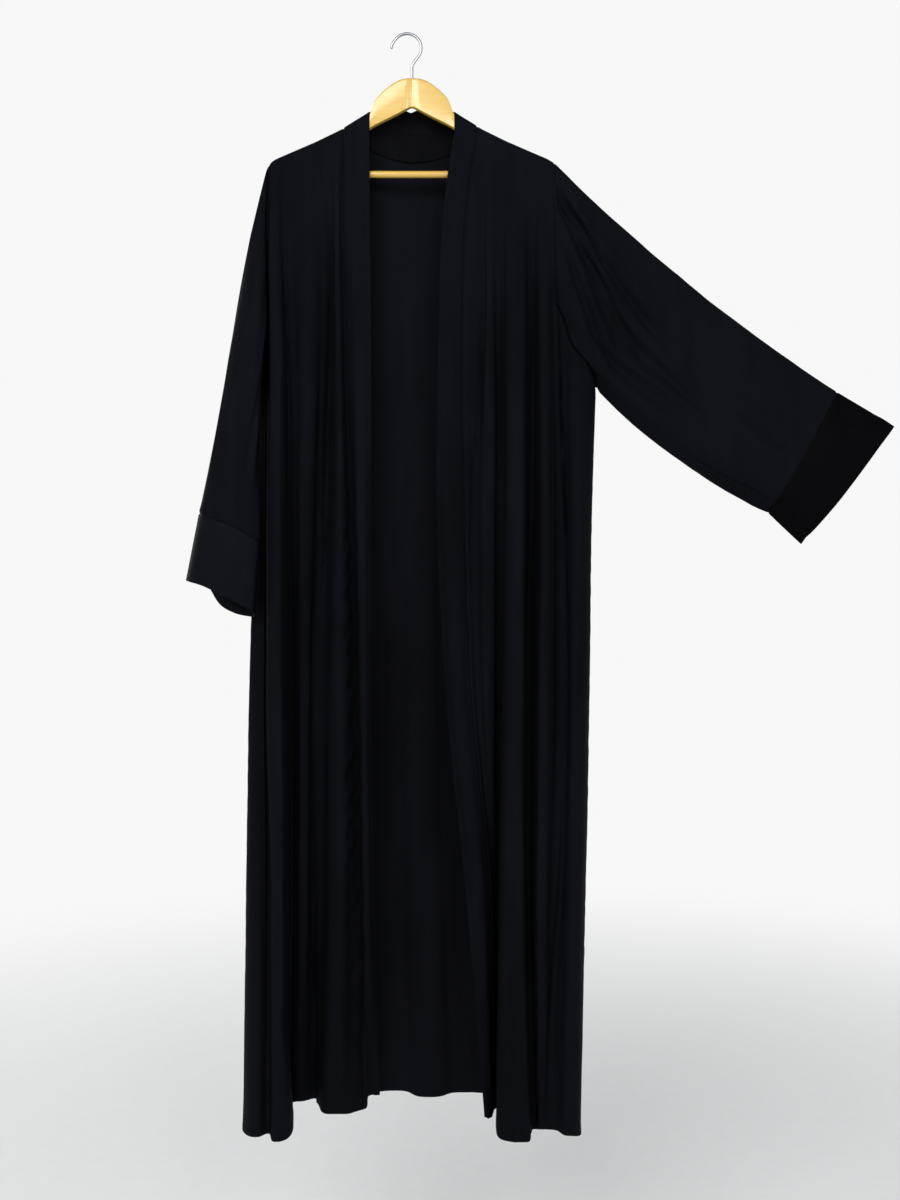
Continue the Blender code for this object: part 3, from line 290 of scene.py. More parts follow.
# Long soft folds in a sleeve, from the armhole: where each crosses the front of the sleeve (0 at
# its top, 1 under the arm) at the start, at its bend and at its end, and its depth and half width.
SleeveFold = namedtuple("SleeveFold", "start bend bend_at end fades_at depth half_width")
RIGHT_SLEEVE_FOLDS = table(
    SleeveFold,
    (0.09, 0.50, 0.24, 0.54, 0.95, 12.0, 0.12),
    (0.24, 0.66, 0.20, 0.74, 0.70, 8.0, 0.09),
)
RIGHT_SLEEVE_BACK_FOLDS = table(
    SleeveFold,
    (0.12, 0.46, 0.25, 0.50, 0.90, 8.0, 0.13),
    (0.30, 0.70, 0.22, 0.78, 0.65, 6.0, 0.10),
)
LEFT_SLEEVE_FOLDS = table(SleeveFold, (0.55, 0.64, 0.45, 0.68, 1.0, 5.0, 0.12))
FOLD_GROWS = 0.08  # the share of the sleeve over which a fold reaches its depth
FOLD_HOLDS = 0.3  # the share of its length by which it starts to fade

SLEEVE_ROWS = np.concatenate(
    [(0.0, 0.003, 0.007, 0.014), np.linspace(0.025, 0.985, 84), (0.993, 0.997, 1.0)]
)
CUFF_ROWS = np.concatenate(
    [(0.0, 0.012, 0.03), np.linspace(0.07, 0.96, 15), (0.985, 0.994, 0.998, 1.0)]
)

# Small creases, listed one by one. across is the fold line's number on the body and 0 to 2 round a
# sleeve (0 at the top, 1 under the arm), along is z on the body and 0 to 1 down a
# sleeve. A positive depth stands out. A crease deeper than SHARP_FROM runs to a sharper line.
Crease = namedtuple("Crease", "across_start across_end along_start along_end depth half_width")
FRONT_LEFT_CREASES = table(
    Crease,
    (4.0, 3.95, -120, -960, -7.0, 7),
    (4.25, 4.35, -420, -980, -6.5, 6),
    (4.45, 3.75, -760, -1800, -11.0, 7),
    (6.05, 6.1, -260, -960, -6.5, 6),
    (6.1, 6.1, -640, -1800, -11.0, 6.5),
    (5.0, 5.05, -700, -1480, 1.2, 8),
    (2.95, 3.1, -260, -900, 1.3, 9),
    (3.2, 3.1, -860, -1420, -0.9, 8),
    (6.5, 6.6, -420, -1120, 1.0, 7),
    (9.0, 9.0, -420, -1740, -5.0, 5),
    (8.5, 8.4, -560, -1240, 0.9, 8),
)
FRONT_RIGHT_CREASES = table(
    Crease,
    (3.1, 3.35, -150, -560, -2.0, 6),
    (3.4, 2.6, -300, -900, -3.2, 5.5),
    (4.45, 4.4, -330, -1250, 3.6, 9),
    (5.3, 5.3, -260, -960, -6.5, 7),
    (5.3, 5.1, -760, -1700, -8.0, 7),
    (6.4, 6.6, -420, -1290, 1.2, 9),
    (8.05, 8.0, -250, -960, -6.5, 6.5),
    (7.8, 7.5, -760, -1640, -7.0, 7),
    (9.0, 8.9, -480, -1240, 1.2, 9),
    (9.5, 9.6, -360, -1250, 2.6, 9),
    (10.0, 10.35, -300, -1060, -6.2, 6.5),
    (10.45, 9.6, -960, -1640, -5.0, 9),
    (11.3, 10.9, -560, -1300, -1.8, 9),
)
BACK_CREASES = table(
    Crease,
    (1.5, 1.3, -560, -1420, 2.2, 12),
    (2.6, 2.4, -260, -1180, -3.0, 13),
    (3.5, 3.4, -340, -900, 2.4, 12),
    (3.1, 3.0, -620, -1560, -3.4, 12),
    (4.4, 4.6, -520, -1480, -2.0, 15),
    (5.5, 5.4, -240, -780, 1.0, 15),
    (5.4, 5.7, -860, -1500, -1.2, 14),
    (6.4, 6.6, -300, -1250, 1.1, 17),
    (7.5, 7.4, -620, -1500, -1.3, 14),
    (8.5, 8.3, -260, -1050, 2.4, 13),
    (8.9, 9.0, -700, -1600, -2.6, 12),
    (9.4, 9.6, -420, -1460, -3.2, 13),
    (10.5, 10.4, -520, -1200, 2.4, 12),
)
LEFT_SLEEVE_CREASES = table(
    Crease,
    (0.30, 0.36, 0.05, 0.80, -1.8, 12),
    (0.75, 0.80, 0.20, 0.97, 1.6, 10),
    (0.15, 0.22, 0.35, 0.98, 1.2, 9),
    (1.45, 1.40, 0.15, 0.92, -1.8, 15),
    (1.75, 1.72, 0.05, 0.70, 1.5, 12),
    (1.25, 1.22, 0.45, 0.99, 1.3, 10),
)
RIGHT_SLEEVE_CREASES = table(
    Crease,
    (-0.08, 0.47, -0.30, 0.52, -8.4, 15),
    (0.28, 0.57, 0.05, 1.15, -6.0, 24),
    (-0.04, 0.62, -0.20, 0.44, -5.0, 10),
    (0.46, 0.66, 0.16, 0.84, -2.5, 14),
    (0.02, 0.30, -0.12, 0.45, 2.5, 12),
    (0.32, 0.60, 0.02, 0.75, 3.0, 12),
    (0.62, 0.80, 0.10, 0.70, -1.2, 9),
    (0.62, 0.60, 0.70, 1.10, 1.6, 9),
    (0.94, 0.94, 0.35, 1.30, -2.2, 5),
    (0.10, 0.12, 0.30, 0.95, -1.0, 14),
    (1.30, 1.45, 0.10, 0.75, 2.4, 14),
    (1.80, 1.45, -0.10, 0.62, -2.4, 16),
    (1.62, 1.40, 0.04, 0.95, -2.4, 14),
    (1.12, 1.15, 0.30, 0.98, -1.5, 12),
)
LEFT_CUFF_CREASES = table(
    Crease,
    (0.32, 0.36, 0.0, 1.0, -0.8, 14),
    (0.70, 0.66, 0.0, 1.0, 0.7, 12),
    (1.5, 1.45, 0.0, 1.0, -0.9, 14),
)
RIGHT_CUFF_CREASES = table(
    Crease,
    (0.30, 0.03, -0.3, 1.1, -2.6, 9),
    (0.16, 0.01, -0.2, 1.1, 1.4, 6),
    (0.60, 0.30, -0.2, 1.2, 0.8, 12),
    (1.75, 1.97, -0.2, 1.1, -1.8, 10),
    (1.4, 1.5, -0.2, 1.2, 0.9, 14),
)

SHARP_FROM = -6.0
SHARP_SHARE = 0.75
SHARP_POWER = 1.3
CREASE_ENDS = 0.35  # the share of a crease over which it grows or fades
CREASE_WIDENS = ((0, 0.35, 0.7, 1), (0.7, 1.0, 1.1, 1.25))  # its width at shares of its length
# A crease wanders this far to the sides, this quickly, and this much further on in each next one.
CREASE_WANDERS = ((1.2, 5.0, 1), (0.6, 13.0, 2))

# Puckers beside a seam: where it runs (as across above), how far they push the cloth out, how far
# from the seam they reach and how far apart they are.
Pucker = namedtuple("Pucker", "across along_start along_end depth reach pitch")
FRONT_LEFT_PUCKERS = table(
    Pucker,
    (2.0, -600, -1450, 7.5, 16, 42),
    (2.0, -330, -620, 0.8, 8, 24),
    (11.0, -540, -1500, 0.8, 8, 31),
)
FRONT_RIGHT_PUCKERS = table(
    Pucker,
    (2.0, -440, -1120, 0.9, 10, 27),
    (12.0, -530, -1480, 0.9, 8, 29),
)
BACK_PUCKERS = table(
    Pucker,
    (0.0, -540, -1500, 0.8, 8, 31),
    (12.0, -530, -1480, 0.9, 8, 29),
)
BAND_LEFT_PUCKERS = table(Pucker, (2.0, -640, -1440, 1.8, 8, 40))
BAND_RIGHT_PUCKERS = table(Pucker, (2.0, -440, -1120, 0.8, 7, 27))

# How a band's seam wanders from side to side: depth is how far.
LEFT_WANDER = Pucker(2.0, -600, -1500, 2.4, 15, 58)
RIGHT_WANDER = Pucker(2.0, -440, -1200, 0.8, 13, 90)
# Seams that lie in a fold are drawn in on both sides: the bands' seams and the armholes.
Drawn = namedtuple("Drawn", "depth reach along_start along_end")
LEFT_DRAWN = table(Drawn, (2.6, 5, -138, -1560), (1.4, 7, -560, -1560))
RIGHT_DRAWN = table(Drawn, (1.6, 4, -138, -900))
LEFT_ARMHOLE = Drawn(3.2, 5.0, -165, -560)
RIGHT_ARMHOLE = Drawn(3.0, 5.0, -330, -560)
PUCKER_ENDS = 0.2
PUCKER_SLANT = 0.6
PUCKER_VARIES, PUCKER_VARIES_BY = 23, 0.3
PUCKER_NEAR = 1.6  # how soon a pucker fades away from its seam
WANDER_ENDS = 0.12

# Ripples along a seam: how high and how far apart they are, where they start and how far from the
# seam they reach.
Ripple = namedtuple("Ripple", "height pitch phase reach")
ABOVE_CUFF = Ripple(1.2, 21.0, 1.0, 22)
BESIDE_ARMHOLE = Ripple(0.6, 24.0, 2.0, 22)
BELOW_CUFF_SEAM = Ripple(0.3, 19.0, 1.0, 14)
RIPPLE_RISE = 3
HEM_RIPPLE, HEM_RIPPLE_PITCH, HEM_RIPPLE_REACH = 0.5, 37.0, 60.0

# Which way a sleeve's front and back leave the armhole, and which way it arrives at the cuff. Each
# of a direction's x, y and z has places across, from the shoulder (0) to the underarm (1), and its
# values there. The left sleeve goes out over the arm's end, then forward. The right one is held
# out, and sags on the way to the hand.
Way = namedtuple("Way", "front back arrives")
LEVEL = ((0.0, 1.0), (0.0, 0.0))
LEFT_PLACES = (0.0, 0.3, 0.6, 0.8, 0.92, 1.0)
LEFT_WAY = Way(
    (
        (LEFT_PLACES, (-0.23, -0.24, 0.10, 0.10, -0.05, -0.20)),
        (LEFT_PLACES, (0.0, -0.22, -0.72, -0.72, -0.60, -0.50)),
        (LEFT_PLACES, (-0.85, -0.9, -0.9, -0.9, -0.9, -0.9)),
    ),
    (
        (LEFT_PLACES, (-0.23, -0.35, -0.45, -0.55, -0.50, -0.20)),
        (LEFT_PLACES, (0.0, 0.0, 0.0, 0.0, -0.05, -0.50)),
        (LEFT_PLACES, (-0.85, -0.9, -0.9, -0.9, -0.9, -0.9)),
    ),
    (((0.0, 0.5), (-0.20, -0.13)), LEVEL, ((0.0, 1.0), (-0.88, -0.88))),
)
RIGHT_OUT = ((0.0, 1.0), (0.74, 0.84))
RIGHT_DOWN = ((0.0, 0.3, 1.0), (-0.74, -0.76, -0.88))
RIGHT_WAY = Way(
    (RIGHT_OUT, ((0.0, 0.5, 1.0), (0.0, -0.08, -0.05)), RIGHT_DOWN),
    (RIGHT_OUT, ((0.0, 0.5, 1.0), (0.0, 0.08, 0.05)), RIGHT_DOWN),
    (((0.0, 1.0), (0.76, 0.84)), LEVEL, ((0.0, 1.0), (-0.50, -0.36))),
)

# What belongs to the left half (sign -1) and to the right one (1)
Faces = namedtuple("Faces", "front back")
Half = namedtuple(
    "Half",
    "name sign folds creases puckers band_puckers wander drawn armhole "
    "rings seam_end cuff_end way sleeve_folds sleeve_creases cuff_creases",
)
HALVES = table(
    Half,
    ("left", -1, LEFT_FRONT, FRONT_LEFT_CREASES, FRONT_LEFT_PUCKERS, BAND_LEFT_PUCKERS, LEFT_WANDER,
     LEFT_DRAWN, LEFT_ARMHOLE, Faces(LEFT_RING_FRONT, LEFT_RING_BACK), LEFT_SEAM_END, LEFT_CUFF_END,
     LEFT_WAY, Faces(LEFT_SLEEVE_FOLDS, ()), LEFT_SLEEVE_CREASES, LEFT_CUFF_CREASES),
    ("right", 1, RIGHT_FRONT, FRONT_RIGHT_CREASES, FRONT_RIGHT_PUCKERS, BAND_RIGHT_PUCKERS,
     RIGHT_WANDER, RIGHT_DRAWN, RIGHT_ARMHOLE, Faces(RIGHT_RING_FRONT, RIGHT_RING_BACK),
     RIGHT_SEAM_END, RIGHT_CUFF_END, RIGHT_WAY, Faces(RIGHT_SLEEVE_FOLDS, RIGHT_SLEEVE_BACK_FOLDS),
     RIGHT_SLEEVE_CREASES, RIGHT_CUFF_CREASES),
)
LEFT, RIGHT = HALVES

# The lack of flatness of hanging cloth: its size across and along, wide and small, and its heights
WIDE_DENTS = (42, 170)
SMALL_DENTS = (15, 46)
SMALL_DENT_SHARE = 0.28
BODY_DENTS, BAND_DENTS, SLEEVE_DENTS, CUFF_DENTS = 1.1, 0.8, 1.2, 0.7

# ---------------------------------------------------------------- curves


def through(places, values, where):
    """A smooth curve through values at places, read at where. Outside the places it stays level."""
    places = np.asarray(places, float)
    values = np.asarray(values, float)
    where = np.clip(np.asarray(where, float), places[0], places[-1])
    slopes = np.gradient(values, places, axis=0)
    index = np.clip(np.searchsorted(places, where, side="right") - 1, 0, len(places) - 2)
    span = places[index + 1] - places[index]
    t = (where - places[index]) / span
    if values.ndim > 1:
        t = t[..., None]
        span = span[..., None]
    pulls = slopes[index] * span, slopes[index + 1] * span
    return hermite(values[index], pulls[0], values[index + 1], pulls[1], t)


def hermite(start, start_pull, end, end_pull, t):
    return (
        (1 + 2 * t) * (1 - t) ** 2 * start
        + t * (1 - t) ** 2 * start_pull
        + t**2 * (3 - 2 * t) * end
        + t**2 * (t - 1) * end_pull
    )


def ease(t):
    t = np.clip(t, 0.0, 1.0)
    return t * t * (3 - 2 * t)


def unit(vectors):
    return vectors / np.linalg.norm(vectors, axis=-1, keepdims=True)


EDGE_STEP = 0.005  # a normal at an edge is taken this far inside it


def normals_of(surface, first, second, step=0.8 * EDGE_STEP):
    """Unit normals of surface(first, second), from points just beside each one."""
    along_first = surface(first + step, second) - surface(first - step, second)
    along_second = surface(first, second + step) - surface(first, second - step)
    return unit(np.cross(along_first, along_second))


# ---------------------------------------------------------------- the body's surface

PLAIN_PULL = 1.9  # over 1, so that a fold is rounder than a zigzag
CORNER_PULL = 1.6
BAND_LEANS = 2  # the band's free edge is this far in front of its seam


def fold_places(folds, z):
    """Where each fold line lies at height z: folds × points × (x, y)."""
    levels = np.array(LEVELS[::-1])
    return np.array([through(levels, np.array(f[2:][::-1], float), z) for f in folds])


def fold_headings(folds, places):
    """Which way the cloth runs at each fold line: straight across at a ridge or a valley, straight
    back at the body's side, and on between its neighbours elsewhere."""
    steps = np.diff(places, axis=0)
    headings = np.empty_like(places)
    headings[0], headings[-1] = steps[0], steps[-1]
    before, after = steps[:-1], steps[1:]
    product = np.clip(before[..., 1] * after[..., 1], 0, None)
    total = before[..., 1] + after[..., 1]
    headings[1:-1, :, 0] = before[..., 0] + after[..., 0]
    headings[1:-1, :, 1] = 4 * product / np.where(np.abs(total) > 1e-6, total, 1.0)
    for i, fold in enumerate(folds):
        if fold.name == SIDE:
            headings[i] = (0.0, 1.0)
    return unit(headings)


def fold_ring(folds, s, z):
    """(x, y) on the line round the body at height z. s counts the fold lines, from 0."""
    s, z = np.broadcast_arrays(np.asarray(s, float), np.asarray(z, float))
    places = fold_places(folds, z.ravel())
    headings = fold_headings(folds, places)
    index = np.clip(np.floor(s.ravel()).astype(int), 0, len(folds) - 2)
    t = (s.ravel() - index)[:, None]
    here = np.arange(z.size)
    start, end = places[index, here], places[index + 1, here]
    corner = np.array([fold.name == SIDE for fold in folds])
    strength = np.where(corner[index] | corner[index + 1], CORNER_PULL, PLAIN_PULL)[:, None]
    pulls = []
    for heading in (headings[index, here], headings[index + 1, here]):
        reach = ((end - start) * heading).sum(-1, keepdims=True)
        pulls.append(strength * reach * heading)
    return hermite(start, pulls[0], end, pulls[1], t).reshape(*s.shape, 2)


def shoulder_z(r):
    """Height of the middle of the cloth on the shoulder line, at r from the hanger's middle."""
    return np.interp(r, SHOULDER_R, SHOULDER_Z) - WALL / 2


def arm_y(r):
    return -ARM_SWEEP * (np.abs(r) / ARM_REACH) ** 2


def neck_point(half, turn, share):
    """A point of the band behind the neck. turn runs from 0 on the shoulder to 1 at the middle of
    the back, and share from 0 at the band's free edge to 1 at its seam."""
    rise = np.sin(np.asarray(turn, float) * math.pi / 2)
    edge = neck_line(half, 0.0, turn, BACK_NECK_DEEP - BAND_LEANS, BACK_NECK_TOP_Z, rise)
    dip = np.exp(-(((edge[..., 0] - NECK_DIP_X) / NECK_DIP_REACH) ** 2)) * ease(rise)
    edge[..., 2] -= NECK_DIP * dip
    seam_lift = 1 - (1 - rise) ** 3
    seam = neck_line(half, BAND_SEAM, turn, BACK_NECK_DEEP, BACK_NECK_SEAM_Z, seam_lift)
    return edge + (seam - edge) * np.asarray(share, float)[..., None]


def neck_line(half, s, turn, deep, middle_z, lift):
    """A line of the band from the shoulder round to the middle of the back, where it is deep
    behind the shoulder and at middle_z. lift is how far up it is on the way, from 0 to 1."""
    angle = np.asarray(turn, float) * math.pi / 2
    start_x = shoulder_x(half.folds, s)
    r = abs(start_x - HANGER_X)
    x = BACK_NECK_X + (start_x - BACK_NECK_X) * np.cos(angle)
    y = arm_y(r) + deep * np.sin(angle)
    return np.stack([x, y, shoulder_z(r) + (middle_z - shoulder_z(r)) * lift], -1)


def shoulder_x(folds, s):
    """x of the body's line at the shoulder, where its cloth hangs straight down from."""
    return float(fold_ring(folds, s, LEVELS[0])[..., 0])


def neck_turn(half, x):
    """How far round the back of the neck the band's seam is at x."""
    seam_x = shoulder_x(half.folds, BAND_SEAM)
    return np.arccos(np.clip((x - BACK_NECK_X) / (seam_x - BACK_NECK_X), 0, 1)) / (math.pi / 2)


def neck_normal(half, turn):
    return normals_of(lambda a, b: neck_point(half, a, b), np.asarray(turn, float), np.asarray(1.0))


Top = namedtuple("Top", "x y z bulge drop")


def top_of(folds, s, face):
    """Where the cloth at s starts, how far it turns over the wood in y, and how far down it takes
    to reach its full folds."""
    x = fold_ring(folds, s, LEVELS[0])[..., 0]
    r = np.abs(x - HANGER_X)
    y = arm_y(r)
    z = shoulder_z(r)
    bulge = np.full_like(x, ARM_ROUND)
    drop = np.full_like(x, DROP)
    if face > 0:
        for half in HALVES:
            turn = neck_turn(half, x)
            behind = (turn > 0) & ((x - BACK_NECK_X) * half.sign >= 0)
            neck = neck_point(half, turn, np.ones_like(x))
            fade = ease(turn / NECK_FADE)
            y = np.where(behind, neck[..., 1], y)
            z = np.where(behind, neck[..., 2], z)
            bulge = np.where(behind, ARM_ROUND * (1 - fade), bulge)
            drop = np.where(behind, DROP + (NECK_DROP - DROP) * fade, drop)
    return Top(x, y, z, bulge, drop)


def body_point(folds, face, s, row, floor_z=None):
    """A point of the body's cloth. face is -1 on the front and 1 on the back. row counts
    TURN_ROWS from 0, and past the last of them it grows by the share of the way down, which
    starts at floor_z where that is given."""
    s, row = np.broadcast_arrays(np.asarray(s, float), np.asarray(row, float))
    top = top_of(folds, s, face)
    turns = len(TURN_ROWS)
    angle = np.radians(np.interp(row, range(turns + 1), TURN_ROWS + (90.0,)))
    down = np.clip(row - turns, 0, None)
    turned_z = top.z - ARM_ROUND
    start = turned_z if floor_z is None else np.where(np.isnan(floor_z), turned_z, floor_z)
    on_turn = row < turns
    turned = top.z - ARM_ROUND * (1 - np.cos(angle))
    z = np.where(on_turn, turned, start + (hem_z(folds, s) - start) * down)
    ring = fold_ring(folds, s, z)
    x = top.x + (ring[..., 0] - top.x) * ease((top.z - z) / SPREAD)
    hanging = top.y + face * top.bulge
    folded = hanging + (ring[..., 1] - hanging) * ease((turned_z - z) / top.drop)
    y = np.where(on_turn, top.y + face * top.bulge * np.sin(angle), folded)
    return np.stack([x, y, z], -1)


def hem_z(folds, s):
    """Height of the hem at s, eased between the fold lines."""
    s = np.asarray(s, float)
    index = np.clip(np.floor(s).astype(int), 0, len(folds) - 2)
    hems = np.array([f.hem for f in folds])
    return hems[index] + (hems[index + 1] - hems[index]) * ease(s - index)


# ---------------------------------------------------------------- shells of cloth


def fine_columns(folds, first, last, marks):
    """s of every column from first to last, closer together beside the marks."""
    pitch = BACK_PITCH if folds is BACK else FRONT_PITCH
    found = [np.array([float(first), float(last)])]
    for index in range(first, last):
        ends = fold_ring(folds, np.array([index, index + 1.0])[:, None], np.array(LEVELS)[None, :])
        length = np.linalg.norm(ends[1] - ends[0], axis=-1).max()
        found.append(np.linspace(index, index + 1, max(4, math.ceil(length / pitch)) + 1))
    for mark in marks:
        found += [mark + BESIDE_SEAM, mark - BESIDE_SEAM]
    s = np.concatenate(found)
    s = np.unique(np.round(s[(s >= first) & (s <= last)], 6))
    keep = np.concatenate([[True], np.diff(s) > SAME_COLUMN])
    return s[keep]


def steps_along(points, axis):
    """Length along the grid from its first line, in mm."""
    lengths = np.linalg.norm(np.diff(points, axis=axis), axis=-1)
    first = np.zeros_like(np.take(lengths, [0], axis=axis))
    return np.concatenate([first, np.cumsum(lengths, axis=axis)], axis=axis)


def uneven(place, pitch, phase=0.0):
    """A ripple that never quite repeats, from -1 to 1."""
    turn = 2 * math.pi * place / pitch
    slow, quick = np.sin(0.61 * turn + 1.7 + phase), np.sin(1.53 * turn + 0.4)
    return 0.5 * np.sin(turn + phase) + 0.3 * slow + 0.2 * quick


def share_of(mark, along):
    """How far along a crease or along a seam's mark each place is, from 0 to 1."""
    return (along - mark.along_start) / (mark.along_end - mark.along_start)


def fading(share, over):
    """1, rising from 0 at the start and falling to 0 at the end over that share of the length."""
    return ease(share / over) * ease((1 - share) / over)


def length_at(s, across, round_it):
    """How far round the grid s is in each of its rows. across has the columns' s."""
    return np.array([np.interp(at, across, row) for at, row in zip(s, round_it)])


def hand_creases(creases, across, round_it, along):
    """How far the creases push the cloth out. across has a number for each column, round_it the
    length round the grid and along each point's place the other way."""
    push = np.zeros_like(round_it)
    for number, crease in enumerate(creases):
        share = share_of(crease, along)
        wander = sum(far * np.sin(quick * share + n * number) for far, quick, n in CREASE_WANDERS)
        middle = crease.across_start + (crease.across_end - crease.across_start) * share
        place = length_at(middle, across, round_it) + wander
        scale = np.interp(np.clip(share, 0, 1), *CREASE_WIDENS)
        away = (round_it - place) / (crease.half_width * scale)
        near = np.clip(1 - away**2, 0, 1) ** 2
        if crease.depth < SHARP_FROM:
            sharp = np.clip(1 - np.abs(away), 0, 1) ** SHARP_POWER
            near = (1 - SHARP_SHARE) * near + SHARP_SHARE * sharp
        push += crease.depth * fading(share, CREASE_ENDS) * near
    return push


def hand_puckers(puckers, across, round_it, along):
    """How far the puckers push the cloth out. Each slants away from its seam."""
    push = np.zeros_like(round_it)
    for number, pucker in enumerate(puckers):
        share = share_of(pucker, along)
        varies = np.sin(share * PUCKER_VARIES + number)
        strength = 1 - PUCKER_VARIES_BY + PUCKER_VARIES_BY * varies
        seam = length_at(np.full_like(along, pucker.across), across, round_it)
        away = np.abs(round_it - seam) / pucker.reach
        slanted = along + PUCKER_SLANT * away * pucker.reach
        height = pucker.depth * fading(share, PUCKER_ENDS) * strength
        near = away * np.exp(1 - PUCKER_NEAR * away)
        push += height * near * uneven(slanted, pucker.pitch)
    return push


def wandering(points, across, wander):
    """The same points with a seam that wanders from side to side."""
    round_it = steps_along(points, 1)
    along = points[..., 2]
    seam = length_at(np.full_like(along, wander.across), across, round_it)
    near = np.exp(-(((round_it - seam) / wander.reach) ** 2))
    depth = wander.depth * fading(share_of(wander, along), WANDER_ENDS)
    moved = points.copy()
    moved[..., 0] += depth * near * uneven(along, wander.pitch)
    return moved


def unevenness(points, amount, seed):
    """The slight lack of flatness that any hanging cloth has."""
    flat = points.reshape(-1, 3)
    wide, small = (
        np.array([noise.noise(Vector((x / w, y / w + at, z / h))) for x, y, z in flat])
        for (w, h), at in ((WIDE_DENTS, seed), (SMALL_DENTS, -seed))
    )
    return (amount * (wide + SMALL_DENT_SHARE * small)).reshape(points.shape[:2])


class Shell:
    """A piece of cloth as a grid of points with normals, a thickness and an offset along them."""

    def __init__(self, name, points, normals, thickness, present=None, ring=False):
        self.name = name
        self.points = points
        self.normals = normals
        self.half = np.full(points.shape[:2], thickness / 2)
        self.offset = np.zeros(points.shape[:2])
        self.present = present
        self.ring = ring
        # How far each point is from the grid's first column, last column, first row and last row
        self.round_it = steps_along(points, 1)
        self.round_back = self.round_it[:, -1:] - self.round_it
        self.down = steps_along(points, 0)
        self.up = self.down[-1:] - self.down

    def seam(self, away):
        """Draws the cloth in and thins it beside a seam that lies away (in mm) from each point."""
        near = np.exp(-((away / SEAM_REACH) ** 2))
        self.offset -= SEAM_DIP * near
        self.half *= 1 - SEAM_THINS * near

    def draw_in(self, away, drawn):
        """Draws the cloth in further beside a seam that lies in a fold."""
        z = self.points[..., 2]
        strength = ease((drawn.along_start - z) / DRAWN_FADE)
        strength *= ease((z - drawn.along_end) / DRAWN_FADE)
        self.offset -= drawn.depth * strength * np.exp(-((away / drawn.reach) ** 2))

    def free_edge(self, away):
        """Rounds the folded edge that lies away from each point."""
        share = np.clip(away / self.half, 0, 1)
        self.half *= np.maximum(np.sqrt(np.clip(1 - (1 - share) ** 2, 0, 1)), EDGE_THINNEST)

    def hem(self, away):
        """A turned hem: doubled up to HEM from the edge, stitched just below its top."""
        doubled = ease((HEM - away) / HEM_STEP)
        groove = np.exp(-(((away - HEM + STITCH_BELOW) / STITCH_REACH) ** 2))
        self.half += HEM_THICKENS * doubled - STITCH_DEPTH * groove

    def push(self, amount, fade=1.0):
        self.offset += amount * fade

    def ripple(self, ripple, away):
        """Ripples beside the seam that lies away from each point."""
        rise = ease(away / RIPPLE_RISE) * ease(1 - away / ripple.reach)
        self.push(ripple.height * uneven(self.round_it, ripple.pitch, ripple.phase) * rise)

    def build(self, cloth):
        """The grid on both sides, each present cell a face, with a rim round its edges."""
        centre = self.points + self.normals * self.offset[..., None]
        out = self.normals * self.half[..., None]
        rows, columns = self.points.shape[:2]
        across = columns if self.ring else columns - 1
        present = np.ones((rows - 1, across), bool) if self.present is None else self.present
        vertices = np.concatenate([centre + out, centre - out]).reshape(-1, 3) * MM
        behind = rows * columns
        j, i = np.nonzero(present)
        above, below, right = j * columns, (j + 1) * columns, (i + 1) % columns
        cells = np.stack([above + i, above + right, below + right, below + i], 1)
        edges = np.concatenate([cells[:, (a, (a + 1) % 4)] for a in range(4)])
        known = {(a, b) for a, b in edges.tolist()}
        rim = [(a, b) for a, b in edges.tolist() if (b, a) not in known]
        faces = cells.tolist() + (behind + cells[:, ::-1]).tolist()
        faces += [(b, a, behind + a, behind + b) for a, b in rim]
        used = np.unique(np.array([v for face in faces for v in face]))
        place = np.zeros(2 * behind, int)
        place[used] = np.arange(len(used))
        mesh = bpy.data.meshes.new(self.name + "_cloth")
        mesh.from_pydata(vertices[used].tolist(), [], [tuple(place[list(face)]) for face in faces])
        return dressed(self.name + "_cloth", mesh, cloth)


def dressed(name, mesh, cloth, sharp=60.0):
    """An object of a closed mesh, its faces turned outward and shaded smooth."""
    work = bmesh.new()
    work.from_mesh(mesh)
    if work.calc_volume(signed=True) < 0:
        bmesh.ops.reverse_faces(work, faces=work.faces[:])
    work.to_mesh(mesh)
    work.free()
    mesh.shade_smooth()
    mesh.set_sharp_from_angle(angle=math.radians(sharp))
    mesh.materials.append(cloth)
    return placed(name, mesh)


def armhole_floor(folds, face, s, first, last):
    """Height of the armhole's foot at s, from the arm line (first) to the side seam (last)."""
    corner = body_point(folds, face, float(first), ROWS[ARMPIT_ROW])[2]
    share = (s - first) / (last - first)
    return corner + (UNDERARM_Z - corner) * np.clip(share, 0, 1) ** ARMHOLE_BEND


def body_grid(folds, face, s, arm_lines):
    """Points, normals and cells of a panel. arm_lines has each armhole's arm line and side seam."""
    row_grid, s_grid = np.meshgrid(ROWS, s, indexing="ij")
    outside = np.zeros(s.shape, bool)
    floor_z = np.full(s.shape, np.nan)
    for arm, side in arm_lines:
        beyond = (s - arm) * np.sign(side - arm) > 1e-6
        outside |= beyond
        floor_z = np.where(beyond, armhole_floor(folds, face, s, arm, side), floor_z)
    shares = np.clip(row_grid - len(TURN_ROWS) - ARMPIT_SHARE, 0, None) / (1 - ARMPIT_SHARE)
    use_rows = np.where(outside[None, :], len(TURN_ROWS) + shares, row_grid)
    floor_grid = np.where(outside[None, :], floor_z[None, :], np.nan)

    def surface(a, b):
        return body_point(folds, face, a, b, floor_grid)

    inside_s = np.clip(s_grid, EDGE_STEP, len(folds) - 1 - EDGE_STEP)
    points = surface(s_grid, use_rows)
    normals = normals_of(surface, inside_s, np.maximum(use_rows, EDGE_STEP))
    present = np.ones((len(ROWS) - 1, len(s) - 1), bool)
    present[:ARMPIT_ROW, outside[:-1] | outside[1:]] = False
    return points, normals, present


